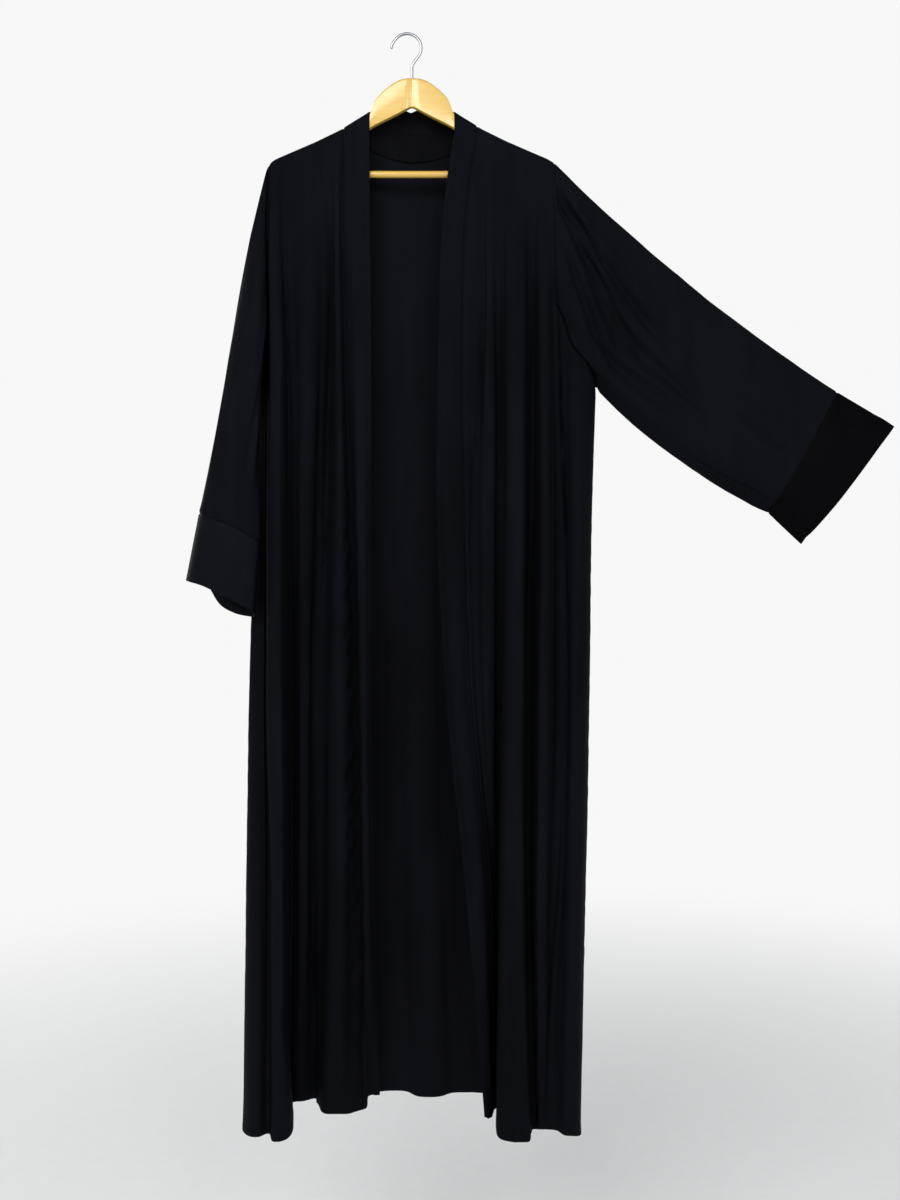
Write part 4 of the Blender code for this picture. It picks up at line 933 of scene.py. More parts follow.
def shoulder_normals(points, normals):
    """On the shoulder line the front's and the back's normals are the same: straight up from it."""
    slope = np.gradient(points[0], axis=0)
    up = np.stack([-slope[:, 2], np.zeros(len(slope)), slope[:, 0]], -1)
    normals[0] = unit(up * np.sign(up[:, 2:3]))


def same_way(normals, reference):
    """The normals, or their opposites if most of them point away from reference."""
    return normals * (-1.0 if (normals * reference).sum() < 0 else 1.0)


FAR = 1e3
FRONT_OUT = (0.2, -1.0, 0.3)  # out of a front; x is for the right one
BACK_OUT = np.array((0.0, 1.0, 0.3))
NECK_OUT = np.array((0.0, 1.0, 1.0))


def armhole_away(shell, arm, side):
    """How far each point of a panel lies from its armhole's edge."""
    away = np.full(shell.points.shape[:2], FAR)
    step = 1 if side > arm else -1
    inner = slice(None, arm + 1) if step > 0 else slice(arm, None)
    outer = slice(arm, None) if step > 0 else slice(None, arm + 1)
    beside = shell.round_it - shell.round_it[:, [arm]]
    away[: ARMPIT_ROW + 1, inner] = np.abs(beside)[: ARMPIT_ROW + 1, inner]
    below = shell.down - shell.down[ARMPIT_ROW]
    away[ARMPIT_ROW:, outer] = np.minimum(away[ARMPIT_ROW:, outer], below[ARMPIT_ROW:, outer])
    corner = np.hypot(beside, np.clip(below, 0, None))
    away[ARMPIT_ROW:, inner] = corner[ARMPIT_ROW:, inner]
    return away


Hole = namedtuple("Hole", "shell edge")


def armhole(shell, arm, side):
    """The edge of an armhole, as (rows, columns): down the arm line, then out to the side seam."""
    step = 1 if side > arm else -1
    edge = [(row, arm) for row in range(ARMPIT_ROW)]
    edge += [(ARMPIT_ROW, column) for column in range(arm, side + step, step)]
    return Hole(shell, tuple(np.array(edge).T))


def nearest(values, wanted):
    return int(np.argmin(np.abs(values - wanted)))


def front_grid(half, s, arm_lines):
    """Points, normals and cells of part of a front."""
    points, normals, present = body_grid(half.folds, -1, s, arm_lines)
    normals = same_way(normals, np.array(FRONT_OUT) * (half.sign, 1, 1))
    shoulder_normals(points, normals)
    return wandering(points, s, half.wander), normals, present


def make_front(half):
    last = len(half.folds) - 1
    arm_line = last - 2
    s = fine_columns(half.folds, BAND_SEAM, last, (BAND_SEAM, arm_line, last))
    points, normals, present = front_grid(half, s, [(arm_line, last)])
    arm, side_seam = nearest(s, arm_line), len(s) - 1
    shell = Shell("front_" + half.name, points, normals, CREPE, present)
    hole = armhole_away(shell, arm, side_seam)
    shell.draw_in(hole, half.armhole)
    for drawn in half.drawn:
        shell.draw_in(shell.round_it, drawn)
    side_away = np.where(BELOW_ARM, shell.round_back, FAR)
    seams = [shell.round_it, hole, side_away, np.where(s[None, :] <= arm_line, shell.down, FAR)]
    finish_panel(shell, s, seams, half.creases, half.puckers, 3.0 * half.sign)
    return shell, armhole(shell, arm, side_seam)


def finish_panel(shell, s, seams, creases, puckers, seed):
    """The seams, creases, puckers, dents and hem of a front or the back."""
    for away in seams:
        shell.seam(away)
    fade = ease(np.minimum.reduce(seams) / SEAM_FADE)
    along = shell.points[..., 2]
    shell.push(hand_creases(creases, s, shell.round_it, along), fade)
    shell.push(hand_puckers(puckers, s, shell.round_it, along))
    shell.push(unevenness(shell.points, BODY_DENTS, seed), fade)
    ripple = HEM_RIPPLE * uneven(shell.round_it, HEM_RIPPLE_PITCH, seed)
    shell.push(ripple * ease(1 - shell.up / HEM_RIPPLE_REACH), fade)
    shell.hem(shell.up)
    shell.free_edge(shell.up)


def back_s(x):
    """s on the back's top edge at x."""
    fine = np.linspace(NECK_FOLDS[0] - 1, NECK_FOLDS[1] + 1, 6001)
    return np.interp(x, top_of(BACK, fine, 1).x, fine)


def make_back():
    last = len(BACK) - 1
    arm_lines = (2, last - 2)
    s = fine_columns(BACK, 0, last, (0, *arm_lines, last))
    ends = back_s(np.array([shoulder_x(half.folds, BAND_SEAM) for half in HALVES]))
    s = np.unique(np.round(np.concatenate([s, ends]), 6))
    points, normals, present = body_grid(BACK, 1, s, [(arm_lines[0], 0), (arm_lines[1], last)])
    normals = same_way(normals, BACK_OUT)
    left, right = nearest(s, arm_lines[0]), nearest(s, arm_lines[1])
    square = normals.copy()
    shoulder_normals(points, square)
    for column in range(left, right + 1):
        x = points[0, column, 0]
        half = LEFT if x < BACK_NECK_X else RIGHT
        turn = float(neck_turn(half, x))
        if turn > 0:
            normals[0, column] = same_way(neck_normal(half, turn), NECK_OUT)
        else:
            normals[0, column] = square[0, column]
    shell = Shell("back", points, normals, CREPE, present)
    left_hole = armhole_away(shell, left, 0)
    right_hole = armhole_away(shell, right, len(s) - 1)
    shell.draw_in(left_hole, LEFT.armhole)
    shell.draw_in(right_hole, RIGHT.armhole)
    inner = (s >= arm_lines[0]) & (s <= arm_lines[1])
    sides = [np.where(BELOW_ARM, away, FAR) for away in (shell.round_it, shell.round_back)]
    seams = [left_hole, right_hole, *sides, np.where(inner[None, :], shell.down, FAR)]
    finish_panel(shell, s, seams, BACK_CREASES, BACK_PUCKERS, 9.0)
    return shell, armhole(shell, left, 0), armhole(shell, right, len(s) - 1)


def make_band(half):
    """The band from its join in the middle of the back, round the neck and down the front."""
    s = fine_columns(half.folds, 0, BAND_SEAM, (BAND_SEAM,))
    s = np.unique(np.round(np.concatenate([s, EDGE_COLUMNS]), 6))
    front, front_normals, _ = front_grid(half, s, [])
    x = front[0, :, 0]
    shares = (x - x[0]) / (x[-1] - x[0])
    turn_grid, share_grid = np.meshgrid(NECK_TURNS[:-1], shares, indexing="ij")
    neck = neck_point(half, turn_grid, share_grid)
    inside_turns = np.clip(turn_grid, EDGE_STEP, 1 - EDGE_STEP)
    neck_normals = normals_of(lambda a, b: neck_point(half, a, b), inside_turns, share_grid)
    normals = np.concatenate([same_way(neck_normals, NECK_OUT), front_normals])
    shell = Shell("band_" + half.name, np.concatenate([neck, front]), normals, BAND)
    centre_back, seam = shell.down, shell.round_back
    shell.seam(seam)
    beside_corner = SEAM_REACH * 2 * np.exp(-seam / SEAM_REACH)
    join = np.exp(-(((centre_back + beside_corner) / CENTRE_BACK_REACH) ** 2))
    shell.half *= 1 - CENTRE_BACK_THINS * join
    fade = ease(np.minimum(seam, centre_back) / SEAM_FADE) * ease(shell.round_it / EDGE_FADE)
    for drawn in half.drawn:
        shell.draw_in(seam, drawn)
    shell.push(hand_puckers(half.band_puckers, s, shell.round_it, shell.points[..., 2]))
    shell.push(unevenness(shell.points, BAND_DENTS, 20.0 + half.sign), fade)
    shell.hem(shell.up)
    shell.free_edge(np.minimum(shell.up, shell.round_it))
    return shell


# The facing: how far inside the back it lies, its crescent and its rolled edge
FACING_LIES = 1.7
FACING_HALF = 78.0
FACING_X = 11.0
FACING_DEEP = 45.0
FACING_EDGE = 6.0
FACING_TOP = 0.5
FACING_ROUND = 0.6
FACING_ROLL, FACING_ROLL_REACH = 0.35, 5.0
FACING_ROWS = np.concatenate([np.linspace(0.06, 0.97, 14), (0.985, 0.995, 1.0)])


def make_facing():
    """A crescent on the inside of the back, with a rolled edge at its foot."""
    columns = np.linspace(-FACING_HALF, FACING_HALF, 61)
    s = back_s(columns + FACING_X)
    top = top_of(BACK, s, 1).z
    crescent = (1 - (columns / (FACING_HALF + FACING_EDGE)) ** 2) ** FACING_ROUND
    deep = FACING_EDGE + (FACING_DEEP - FACING_EDGE) * crescent
    turns = len(TURN_ROWS)
    points, normals = [], []
    for share in FACING_ROWS:
        fall = FACING_TOP + deep * share
        angle = np.degrees(np.arccos(np.clip(1 - fall / ARM_ROUND, 0, 1)))
        turned = np.interp(angle, TURN_ROWS + (90.0,), range(turns + 1))
        below = turns + (fall - ARM_ROUND) / (top - ARM_ROUND - hem_z(BACK, s))
        rows = np.where(fall < ARM_ROUND, turned, below)
        inside = np.maximum(rows, 2 * EDGE_STEP)
        points.append(body_point(BACK, 1, s, rows))
        normals.append(normals_of(lambda a, b: body_point(BACK, 1, a, b), s, inside))
    normals = same_way(np.array(normals), BACK_OUT)
    shell = Shell("neck_facing", np.array(points) - normals * FACING_LIES, normals, FACING)
    shell.half += FACING_ROLL * ease(1 - shell.up / FACING_ROLL_REACH)
    shell.free_edge(shell.up)
    return shell


# ---------------------------------------------------------------- sleeves


def ring_half(half, end, shares, hangs):
    """Points at shares of the length of one half of a ring. hangs names the column of its table
    that says how low it hangs."""
    ring = np.array(half, float)
    outer, inner = np.array(end.outer, float), np.array(end.inner, float)
    width = np.linalg.norm(inner - outer)
    fine = np.linspace(0, len(half) - 1, 241)
    curve = through(range(len(half)), ring, fine)
    steps = np.hypot(np.diff(curve[:, 0]) * width, np.diff(curve[:, 1]))
    length = np.concatenate([[0], np.cumsum(steps)])
    at = np.interp(np.asarray(shares) * length[-1], length, fine)
    point = RingPoint(*through(range(len(half)), ring, at).T)
    stands = np.stack([0 * point.y, point.y, -getattr(point, hangs)], -1)
    return outer + (inner - outer) * point.across[:, None] + stands


def sleeve_ring(rings, end, shares, hangs):
    front = ring_half(rings.front, end, shares.front, hangs)
    back = ring_half(rings.back, end, shares.back, hangs)
    return np.concatenate([front, back[1:-1]])


def length_shares(points):
    """Each point's share of the length of the line through them."""
    steps = np.concatenate([[0], np.cumsum(np.linalg.norm(np.diff(points, axis=0), axis=1))])
    return steps / steps[-1]


def fold_depth(folds, g, t):
    """How far the folds draw the cloth in at g across a half of the sleeve and t down it."""
    deep = np.zeros(np.broadcast(g, t).shape)
    for fold in folds:
        middle = np.interp(t, (0.0, fold.bend_at, 1.0), (fold.start, fold.bend, fold.end))
        faded = ease((t / fold.fades_at - FOLD_HOLDS) / (1 - FOLD_HOLDS))
        strength = ease(t / FOLD_GROWS) * (1 - faded)
        near = np.clip(1 - ((g - middle) / fold.half_width) ** 2, 0, 1) ** 2
        deep += fold.depth * strength * near
    return deep


def directions(across, way):
    """Directions (x, y, z) at places across the armhole."""
    return np.stack([np.interp(across, *part) for part in way], -1)


def make_sleeve(half, holes):
    """A sleeve from its armhole to its cuff's seam, and the cuff."""
    edges = [hole.shell.points[hole.edge] for hole in holes]
    shares = Faces(length_shares(edges[0]), length_shares(edges[1][::-1]))
    hole = np.concatenate([edges[0], edges[1][::-1][1:-1]])
    face = np.concatenate([-np.ones(len(shares.front)), np.ones(len(shares.back) - 2)])
    across = np.concatenate([shares.front, 1 - shares.back[1:-1]])
    round_it = np.concatenate([shares.front, 1 + shares.back[1:-1]])
    seam_ring = sleeve_ring(half.rings, half.seam_end, shares, "drop")
    cuff_ring = sleeve_ring(half.rings, half.cuff_end, shares, "hem")
    reach = np.linalg.norm(seam_ring - hole, axis=1, keepdims=True)
    leaves, leaves_back, arrives = (directions(across, part) for part in half.way)
    leaves = np.where(face[:, None] < 0, leaves, leaves_back)
    t = SLEEVE_ROWS[:, None, None]
    points = hermite(hole, leaves * reach, seam_ring, arrives * reach, t)
    front_folds, back_folds = (fold_depth(rows, across, t[..., 0]) for rows in half.sleeve_folds)
    points[..., 1] += np.where(face < 0, front_folds, -back_folds)
    normals = ring_normals(points)
    if normals[0, 0, 2] < 0:
        normals = -normals
    cuff = np.array([seam_ring + (cuff_ring - seam_ring) * share for share in CUFF_ROWS])
    cuff_normals = same_way(ring_normals(cuff), normals[-1])
    cuff_normals[0] = normals[-1] = unit(cuff_normals[0] + normals[-1])
    seed = points[0, 0, 0] / 50

    sleeve = Shell("sleeve_" + half.name, points, normals, CREPE, ring=True)
    sew_in(sleeve, holes)
    sleeve.draw_in(sleeve.down, half.armhole)
    sleeve.seam(sleeve.down)
    sleeve.seam(sleeve.up)
    fade = ease(np.minimum(sleeve.down, sleeve.up) / SLEEVE_FADE)
    sleeve.push(place_creases(half.sleeve_creases, round_it, sleeve, SLEEVE_ROWS), fade)
    sleeve.push(unevenness(points, SLEEVE_DENTS, seed), fade)
    sleeve.ripple(ABOVE_CUFF, sleeve.up)
    sleeve.ripple(BESIDE_ARMHOLE, sleeve.down)

    shell = Shell("cuff_" + half.name, cuff, cuff_normals, CUFF, ring=True)
    shell.seam(shell.down)
    fade = ease(shell.down / CUFF_FADE)
    shell.push(place_creases(half.cuff_creases, round_it, shell, CUFF_ROWS), fade)
    shell.push(unevenness(cuff, CUFF_DENTS, seed + 4), fade)
    shell.ripple(BELOW_CUFF_SEAM, shell.down)
    shell.free_edge(shell.up)
    return sleeve, shell


def place_creases(creases, round_it, shell, rows):
    along = np.broadcast_to(rows[:, None], shell.round_it.shape)
    return hand_creases(creases, round_it, shell.round_it, along)


def sew_in(sleeve, holes):
    """At the armhole the body's cloth and the sleeve's share one edge and its normals."""
    front, back = holes
    count = len(front.edge[0])
    total = len(sleeve.points[0])
    front_columns = np.arange(count)
    back_columns = np.concatenate([[0], np.arange(total - 1, count - 1, -1), [count - 1]])
    on_front = unit(front.shell.normals[front.edge] + sleeve.normals[0, front_columns])
    on_back = unit(back.shell.normals[back.edge] + sleeve.normals[0, back_columns])
    on_front[-1, 1] = 0.0
    on_front[-1] = unit(on_front[-1])
    on_back[[0, -1]] = on_front[[0, -1]]
    front.shell.normals[front.edge] = on_front
    back.shell.normals[back.edge] = on_back
    sleeve.normals[0, front_columns] = on_front
    sleeve.normals[0, back_columns[1:-1]] = on_back[1:-1]


def ring_normals(points):
    round_it = np.roll(points, -1, axis=1) - np.roll(points, 1, axis=1)
    along = np.gradient(points, axis=0)
    return unit(np.cross(round_it, along))


# ---------------------------------------------------------------- hanger

WOOD_DEPTH = 13.0
WOOD_MEETS = 0.02
WOOD_TIP_R, WOOD_END_R = 196, 204
WOOD_TIP_THINS, WOOD_TIP_DROPS, WOOD_TIP_RISES = 3.2, 2.0, 1.5
WOOD_SPANS = ((WOOD_MEETS, 14, 29), (14, WOOD_TIP_R, 92), (WOOD_TIP_R, WOOD_END_R, 9))
WOOD_R = np.unique(np.concatenate([np.linspace(*span) for span in WOOD_SPANS]))
WOOD_EASED = 3.0  # the outline is eased over this far to each side
WOOD_TOP_CORNER = 3.6
WOOD_FOOT_CORNER = 1.5
WOOD_BACK_CORNER = 5.5
WOOD_CROWN = 0.5
GROOVE_DEPTH = 1.9
GROOVE_REACH = 4.6
GROOVE_AT_TOP = 0.25  # the share of its depth that the groove has at the top

WoodRing = namedtuple("WoodRing", "r top bottom half groove")


def wood_rings():
    """Sections of an arm, close together, from the hanger's middle out. A soft groove runs down
    the middle, where the two arms meet."""
    r, tops, bottoms = zip(*WOOD)
    near = [np.abs(WOOD_R + step) for step in np.linspace(-WOOD_EASED, WOOD_EASED, 7)]
    groove = GROOVE_DEPTH * np.exp(-((WOOD_R / GROOVE_REACH) ** 2))
    tip = np.clip((WOOD_R - WOOD_TIP_R) / (WOOD_END_R - WOOD_TIP_R), 0, 1)
    half = WOOD_DEPTH / 2 - WOOD_TIP_THINS * tip**2
    top = np.mean([np.interp(place, r, tops) for place in near], axis=0)
    bottom = np.mean([np.interp(place, r, bottoms) for place in near], axis=0)
    top = top - WOOD_TIP_DROPS * tip**3
    bottom = bottom + WOOD_TIP_RISES * tip**3
    return [WoodRing(*row) for row in zip(WOOD_R, top, bottom, half, groove)]


def grooved(ring, y, z):
    """A point of a section, drawn in by the groove, which is deepest at the foot of the wood."""
    down = (ring.top - z) / (ring.top - ring.bottom)
    depth = ring.groove * (GROOVE_AT_TOP + (1 - GROOVE_AT_TOP) * down)
    return y * (1 - depth / ring.half), z


def wood_section(ring):
    """(y, z) round an arm."""
    corners = (
        (0, 1, ring.top, WOOD_TOP_CORNER),
        (90, -1, ring.top, WOOD_TOP_CORNER),
        (180, -1, ring.bottom, -WOOD_FOOT_CORNER),
        (270, 1, ring.bottom, -WOOD_BACK_CORNER),
    )
    found = []
    for turn, side, edge, corner in corners:
        size = abs(corner)
        for angle in np.radians(np.linspace(turn, turn + 90, 7)):
            y = side * (ring.half - size) + size * math.cos(angle)
            found.append(grooved(ring, y, edge - corner + size * math.sin(angle)))
        if turn in (90, 270):
            found += side_rows(ring, side)
    return [(arm_y(ring.r) + y, z) for y, z in found]


def side_rows(ring, side):
    """Points between the rounded corners of one face, down the front and up the back."""
    high = ring.top - WOOD_TOP_CORNER
    low = ring.bottom + (WOOD_FOOT_CORNER if side < 0 else WOOD_BACK_CORNER)
    rows = []
    for share in np.linspace(0, 1, 10)[1:-1][::-side]:
        crown = WOOD_CROWN * (1 - (2 * share - 1) ** 2)
        rows.append(grooved(ring, side * (ring.half + crown), high + (low - high) * share))
    return rows


def tube_mesh(name, rings):
    """A closed mesh through rings of points, in mm."""
    count = len(rings[0])
    vertices = np.array(rings, float).reshape(-1, 3) * MM
    total = len(vertices)
    faces = [tuple(range(count)), tuple(range(total - 1, total - count - 1, -1))]
    for j in range(len(rings) - 1):
        for i in range(count):
            k = (i + 1) % count
            faces.append((j * count + i, j * count + k, (j + 1) * count + k, (j + 1) * count + i))
    mesh = bpy.data.meshes.new(name)
    mesh.from_pydata(vertices.tolist(), [], faces)
    return mesh


def make_arm(name, side, wood):
    sections = [(HANGER_X + side * ring.r, wood_section(ring)) for ring in wood_rings()]
    rings = [[(x, y, z) for y, z in section] for x, section in sections]
    return dressed(name, tube_mesh(name, rings), wood, WOOD_SHARP)


def circle(centre, radius, side, up, count):
    around = np.linspace(0, 2 * math.pi, count, endpoint=False)[:, None]
    return centre + radius * (np.cos(around) * side + np.sin(around) * up)


WOOD_SHARP, WIRE_SHARP = 50.0, 70.0  # an edge over this many degrees stays sharp
BACKWARD, UPWARD = np.array((0, 1.0, 0)), np.array((0, 0, 1.0))
BAR_RADIUS = 5.0
BAR_Z = -204.5
BAR_REACH = 181.0
BAR_CHAMFER, BAR_END_THINS = 0.8, 0.6
BAR_UNEVEN, BAR_UNEVEN_PITCH = 0.04, 17
BAR_ROWS, BAR_SIDES = 60, 28


def make_bar(name, wood):
    """A turned bar, a little uneven along its length."""
    length = 2 * BAR_REACH
    ends = np.array((0, 0.3, BAR_CHAMFER))
    places = np.concatenate([ends, np.linspace(2, length - 2, BAR_ROWS), length - ends[::-1]])
    rings = []
    for place in places:
        beside_end = max(0.0, 1 - min(place, length - place) / BAR_CHAMFER)
        radius = BAR_RADIUS - BAR_END_THINS * beside_end**2
        radius += BAR_UNEVEN * math.sin(place / BAR_UNEVEN_PITCH)
        centre = np.array((HANGER_X - BAR_REACH + place, float(arm_y(BAR_REACH)), BAR_Z))
        rings.append(circle(centre, radius, BACKWARD, UPWARD, BAR_SIDES))
    return dressed(name, tube_mesh(name, rings), wood, WOOD_SHARP)


WIRE_RADIUS = 2.1
HOOK_RADIUS = 20.8
HOOK_Z = -18.8
HOOK_TURN = (178.0, -32.0)
HOOK_FLARE = 1.6
FLARE_FROM, FLARE_OVER = np.radians((140, 38))
STEM_TOP_Z = -48.0
STEM_FOOT_Z = -80.0
HOOK_ROWS, BEND_ROWS, STEM_ROWS, TIP_ROWS, WIRE_SIDES = 72, 18, 6, 5, 18
TIP_SMALLEST = 0.03  # the share of the wire's section that its rounded tip ends with


def make_hook(name, chrome):
    """The bent wire. Its tip is rounded and turned a little outwards."""
    angles = np.radians(np.linspace(*HOOK_TURN, HOOK_ROWS))
    radius = HOOK_RADIUS + HOOK_FLARE * ease((angles - FLARE_FROM) / FLARE_OVER)
    arc = np.stack([radius * np.cos(angles), 0 * angles, HOOK_Z + radius * np.sin(angles)], -1)
    heading = np.array((math.sin(angles[-1]), 0, -math.cos(angles[-1])))
    stem_top = np.array((HANGER_X, 0, STEM_TOP_Z))
    t = np.linspace(0.05, 1, BEND_ROWS)[:, None]
    bend = hermite(arc[-1], heading * HOOK_RADIUS, stem_top, -UPWARD * HOOK_RADIUS, t)
    stem_z = np.linspace(STEM_TOP_Z - 4, STEM_FOOT_Z, STEM_ROWS)
    stem = [np.array((HANGER_X, 0, z)) for z in stem_z]
    route = np.concatenate([arc, bend, stem])
    ways = unit(np.gradient(route, axis=0))
    rings = []
    for share in np.linspace(1, 0, TIP_ROWS + 1)[:-1]:
        radius = WIRE_RADIUS * math.sqrt(max(TIP_SMALLEST, 1 - share**2))
        rings.append((route[0] - ways[0] * WIRE_RADIUS * share, radius, ways[0]))
    rings += [(place, WIRE_RADIUS, way) for place, way in zip(route, ways)]
    found = []
    for place, radius, way in rings:
        side = np.array((way[2], 0, -way[0]))
        found.append(circle(place, radius, side, BACKWARD, WIRE_SIDES))
    return dressed(name, tube_mesh(name, found), chrome, WIRE_SHARP)


# ---------------------------------------------------------------- materials


class Nodes:
    """Makes the nodes of a material or a world and joins them by name."""

    def __init__(self, owner):
        owner.use_nodes = True
        self.owner = owner
        self.tree = owner.node_tree
        self.shader = self.tree.nodes.get("Principled BSDF") or self.tree.nodes["Background"]
        self.coordinates = self.tree.nodes.new("ShaderNodeTexCoord").outputs
        self.place = self.coordinates["Object"]

    def add(self, kind, inputs=None, **settings):
        node = self.tree.nodes.new("ShaderNode" + kind)
        for key, value in settings.items():
            setattr(node, key, value)
        for key, value in (inputs or {}).items():
            self.give(node.inputs[key], value)
        return node

    def give(self, socket, value):
        if isinstance(value, bpy.types.NodeSocket):
            self.tree.links.new(value, socket)
        else:
            socket.default_value = value

    def look(self, inputs):
        for key, value in inputs.items():
            self.give(self.shader.inputs[key], value)

    def stretched(self, *scale):
        return self.add("Mapping", {"Vector": self.place, "Scale": scale}).outputs["Vector"]

    def noise(self, vector, scale, detail=2.0, roughness=0.5):
        inputs = {"Vector": vector, "Scale": scale, "Detail": detail, "Roughness": roughness}
        return self.add("TexNoise", inputs).outputs["Fac"]

    def wave(self, direction, vector, scale, distortion, detail, detail_scale=1.0):
        inputs = {"Vector": vector, "Scale": scale, "Distortion": distortion, "Detail": detail}
        inputs["Detail Scale"] = detail_scale
        return self.add("TexWave", inputs, bands_direction=direction).outputs["Fac"]

    def ramp(self, value, low, high, to_low=0.0, to_high=1.0):
        keys = ("Value", "From Min", "From Max", "To Min", "To Max")
        inputs = dict(zip(keys, (value, low, high, to_low, to_high)))
        return self.add("MapRange", inputs, interpolation_type="SMOOTHSTEP").outputs["Result"]

    def mix(self, factor, first, second):
        node = self.add("Mix", {0: factor, 6: first, 7: second}, data_type="RGBA")
        return node.outputs[2]

    def maths(self, operation, first, second):
        return self.add("Math", {0: first, 1: second}, operation=operation).outputs[0]

    def blend(self, *parts):
        """The sum of (value, weight) parts."""
        total = None
        for value, weight in parts:
            part = self.maths("MULTIPLY", value, weight)
            total = part if total is None else self.maths("ADD", total, part)
        return total

    def bump(self, height, strength, distance, normal=None):
        inputs = {"Height": height, "Strength": strength, "Distance": distance}
        if normal is not None:
            inputs["Normal"] = normal
        return self.add("Bump", inputs).outputs["Normal"]


# A kind of cloth, or a copy of one darkened as painted shade: its colours in thousandths, how rough
# it is and how unevenly, and how strongly it shines and its weave shows.
Cloth = namedtuple("Cloth", "name dark light roughness spread specular grain")
CLOTHS = table(
    Cloth,
    ("black_crepe", (1.7, 1.9, 3.4), (3.3, 3.6, 6.2), 0.80, 0.06, 0.04, 0.35),
    ("black_crepe_facing", (1.4, 1.5, 2.4), (2.7, 2.9, 4.2), 0.82, 0.06, 0.035, 0.35),
    ("black_satin_trim", (1.5, 1.8, 3.7), (2.8, 3.3, 6.3), 0.60, 0.05, 0.045, 0.2),
    # The right cuff's trim: the satin trim darkened and dulled, as painted shade for the cuff that
    # lies in shade.
    ("deep_black_trim", (0.9, 0.9, 1.3), (1.6, 1.6, 2.2), 0.72, 0.05, 0.025, 0.2),
)


def cloth_material(cloth):
    """Crepe or satin: a pebbled weave with uneven dye."""
    nodes = Nodes(bpy.data.materials.new(cloth.name))
    pebble = nodes.noise(nodes.stretched(1, 1, 0.55), 1500.0, 2.0, 0.6)
    broad = nodes.noise(nodes.stretched(1, 1, 0.3), 9.0, 3.0, 0.55)
    worn = nodes.noise(nodes.stretched(1, 1, 0.12), 55.0, 2.0, 0.6)
    tone = nodes.blend((broad, 0.5), (worn, 0.2), (pebble, 0.3))
    rough, smooth = cloth.roughness + cloth.spread, cloth.roughness - cloth.spread
    across = nodes.wave("X", nodes.place, 480.0, 1.5, 1.0)
    along = nodes.wave("Z", nodes.place, 420.0, 1.5, 1.0)
    weave = nodes.blend((across, 0.25), (along, 0.25), (pebble, 0.5))
    soft = nodes.noise(nodes.stretched(1, 1, 0.4), 70.0, 3.0, 0.5)
    dark, light = ([part / 1000 for part in colour] + [1] for colour in (cloth.dark, cloth.light))
    colour = nodes.mix(nodes.ramp(tone, 0.34, 0.66), dark, light)
    nodes.look(
        {
            "Base Color": colour,
            "Roughness": nodes.ramp(tone, 0.3, 0.7, rough, smooth),
            "Normal": nodes.bump(weave, cloth.grain, 0.00025, nodes.bump(soft, 0.25, 0.0012)),
            "Specular IOR Level": cloth.specular,
        }
    )
    return nodes.owner


def wood_material(name):
    """Honey-varnished beech: long grain, short flecks and a clear gloss coat."""
    nodes = Nodes(bpy.data.materials.new(name))
    grain_place = nodes.stretched(0.09, 1.0, 1.0)
    warp = nodes.noise(nodes.stretched(0.3, 1, 1), 22.0, 2.0)
    grain = nodes.noise(grain_place, 330.0, 4.0, 0.62)
    flecks = nodes.noise(nodes.stretched(0.12, 1.0, 1.0), 1300.0, 2.0, 0.5)
    rings = nodes.wave("Z", grain_place, 42.0, 6.0, 3.0, 1.4)
    tone = nodes.blend((grain, 0.42), (rings, 0.07), (warp, 0.30))
    honey, amber, brown = (0.60, 0.385, 0.062, 1), (0.48, 0.275, 0.030, 1), (0.38, 0.18, 0.025, 1)
    colour = nodes.mix(nodes.ramp(tone, 0.22, 0.74), honey, amber)
    dark = nodes.ramp(flecks, 0.66, 0.76, 0.0, 0.35)
    nodes.look(
        {
            "Base Color": nodes.mix(dark, colour, brown),
            "Roughness": nodes.ramp(grain, 0.3, 0.7, 0.34, 0.46),
            "Normal": nodes.bump(grain, 0.12, 0.0003),
            "Coat Weight": 1.0,
            "Coat Roughness": 0.11,
        }
    )
    return nodes.owner


def chrome_material(name):
    nodes = Nodes(bpy.data.materials.new(name))
    smudge = nodes.noise(nodes.place, 70.0, 2.0)
    nodes.look(
        {
            "Base Color": nodes.mix(smudge, (0.26, 0.27, 0.29, 1), (0.38, 0.39, 0.42, 1)),
            "Roughness": nodes.ramp(smudge, 0.3, 0.7, 0.09, 0.14),
            "Metallic": 1.0,
        }
    )
    return nodes.owner


# ---------------------------------------------------------------- stage, light and camera

BACKDROP = (0.93, 0.935, 0.93, 1)
CEILING = (0.10, 0.11, 0.13, 1)
CEILING_FROM, CEILING_TO = 0.5, 0.8
FLOOR_PLACE = (0.15, 0, -1.95)
FLOOR_RADIUS = 14.0
FLOOR_FADES = (0.9, 3.2)  # how far out the floor starts to glow like the backdrop, and does
CAMERA_PLACE = (0.0627, -1.8, -0.823)
CAMERA_LENS, CAMERA_SENSOR = 37.06, 36.0
Lamp = namedtuple("Lamp", "name place target size power")
LAMPS = table(
    Lamp,
    ("key", (-1.1, -2.9, 1.1), (0.05, 0, -0.55), (2.0, 1.6), 68),
    ("fill", (1.2, -2.8, 0.3), (0.1, 0, -0.6), (1.6, 1.6), 12),
    ("glint", (0.75, -2.6, 0.5), (0.0, 0, -0.1), (0.35, 0.6), 6),
    ("back_light", (-1.2, 2.6, 1.2), (0.05, 0, -0.7), (2.4, 2.0), 30),
)


def placed(name, data, location=(0, 0, 0)):
    """A new object in the scene."""
    thing = bpy.data.objects.new(name, data)
    thing.location = location
    bpy.context.scene.collection.objects.link(thing)
    return thing


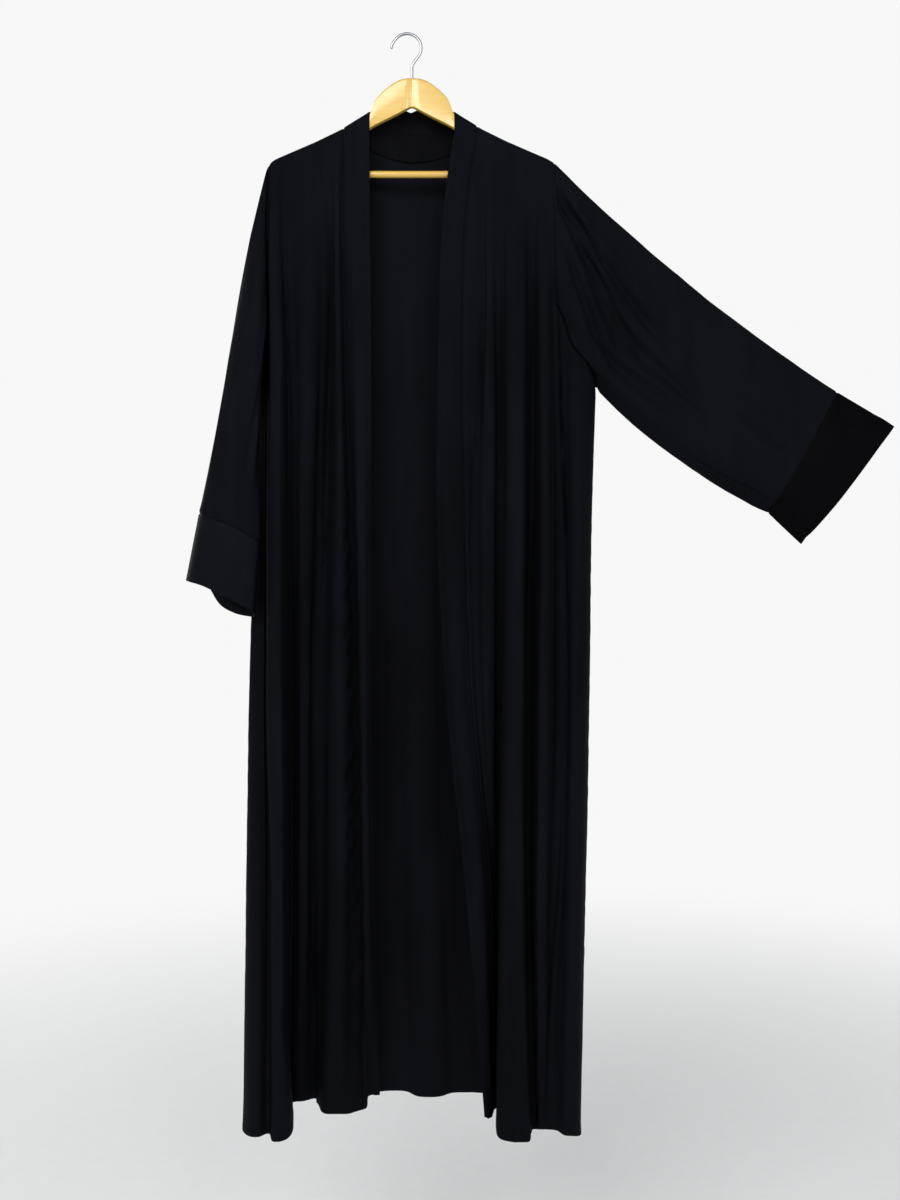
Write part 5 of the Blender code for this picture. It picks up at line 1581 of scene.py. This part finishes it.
def make_floor():
    """A plain pale floor that runs out into the even pale surroundings."""
    mesh = bpy.data.meshes.new("floor")
    work = bmesh.new()
    bmesh.ops.create_circle(work, cap_ends=True, segments=96, radius=FLOOR_RADIUS)
    work.to_mesh(mesh)
    work.free()
    nodes = Nodes(bpy.data.materials.new("pale_floor"))
    speck = nodes.noise(nodes.place, 30.0, 4.0)
    pale = nodes.mix(speck, (0.88, 0.88, 0.875, 1), (0.92, 0.92, 0.915, 1))
    nodes.look({"Base Color": pale, "Roughness": 0.85})
    away = nodes.add("VectorMath", {0: nodes.place}, operation="LENGTH").outputs["Value"]
    glow = nodes.add("Emission", {"Color": BACKDROP, "Strength": 1.0})
    fades = {0: nodes.ramp(away, *FLOOR_FADES), 1: nodes.shader.outputs[0], 2: glow.outputs[0]}
    both = nodes.add("MixShader", fades)
    nodes.give(nodes.tree.nodes["Material Output"].inputs["Surface"], both.outputs[0])
    mesh.materials.append(nodes.owner)
    placed("floor", mesh, FLOOR_PLACE)


def make_surroundings():
    """Even and pale, and darker overhead."""
    world = bpy.data.worlds.new("surroundings")
    bpy.context.scene.world = world
    nodes = Nodes(world)
    height = nodes.add("SeparateXYZ", {0: nodes.coordinates["Generated"]}).outputs["Z"]
    above = nodes.ramp(height, CEILING_FROM, CEILING_TO)
    nodes.look({"Color": nodes.mix(above, BACKDROP, CEILING)})


def make_lamp(lamp):
    light = bpy.data.lights.new(lamp.name, "AREA")
    light.shape = "RECTANGLE"
    light.size, light.size_y = lamp.size
    light.energy = lamp.power
    lit = placed(lamp.name, light, lamp.place)
    towards = Vector(lamp.target) - Vector(lamp.place)
    lit.rotation_euler = towards.to_track_quat("-Z", "Y").to_euler()
    lit.visible_camera = False


def make_camera():
    camera = placed("camera", bpy.data.cameras.new("camera"), CAMERA_PLACE)
    camera.data.lens = CAMERA_LENS
    camera.data.sensor_width = CAMERA_SENSOR
    camera.rotation_euler = (math.pi / 2, 0, 0)
    bpy.context.scene.camera = camera


# ---------------------------------------------------------------- the whole

# What each piece was cut to, flat: width and length in metres, the area of the cut in m2, and the
# pieces that it rests on.
Cut = namedtuple("Cut", "width length area rests_on")
# The cloth of the pieces that aren't plain crepe
LOOKS = {
    "cuff_left": "black_satin_trim",
    # the right cuff wears the satin trim darkened as painted shade
    "cuff_right": "deep_black_trim",
    "neck_facing": "black_crepe_facing",
}


def make_cloth():
    """Every piece of cloth. A sleeve comes after the panels whose armholes it is sewn into."""
    back, *back_holes = make_back()
    fronts, sleeves = [], []
    for half, back_hole in zip(HALVES, back_holes):
        front, front_hole = make_front(half)
        fronts.append(front)
        sleeves += make_sleeve(half, (front_hole, back_hole))
    return *fronts, back, *sleeves, *(make_band(half) for half in HALVES), make_facing()


def main():
    bpy.context.scene.view_settings.view_transform = "Standard"
    cloths = {cloth.name: cloth_material(cloth) for cloth in CLOTHS}
    wood = wood_material("varnished_wood")
    chrome = chrome_material("chrome")
    for shell in make_cloth():
        piece = shell.build(cloths[LOOKS.get(shell.name, "black_crepe")])
        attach(piece, "root")
        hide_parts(shell.name)

    for piece, node, slot in (
        (make_arm("arm_left", -1, wood), "hanger_arm_left", "varnished_wood"),
        (make_arm("arm_right", 1, wood), "hanger_arm_right", "varnished_wood"),
        (make_bar("trouser_bar", wood), "hanger_bar", "varnished_wood"),
        (make_hook("wire_hook", chrome), "hanger_hook", "chrome"),
    ):
        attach(piece, "root")
        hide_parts(node)

    make_floor()
    make_surroundings()
    for lamp in LAMPS:
        make_lamp(lamp)
    make_camera()


main()
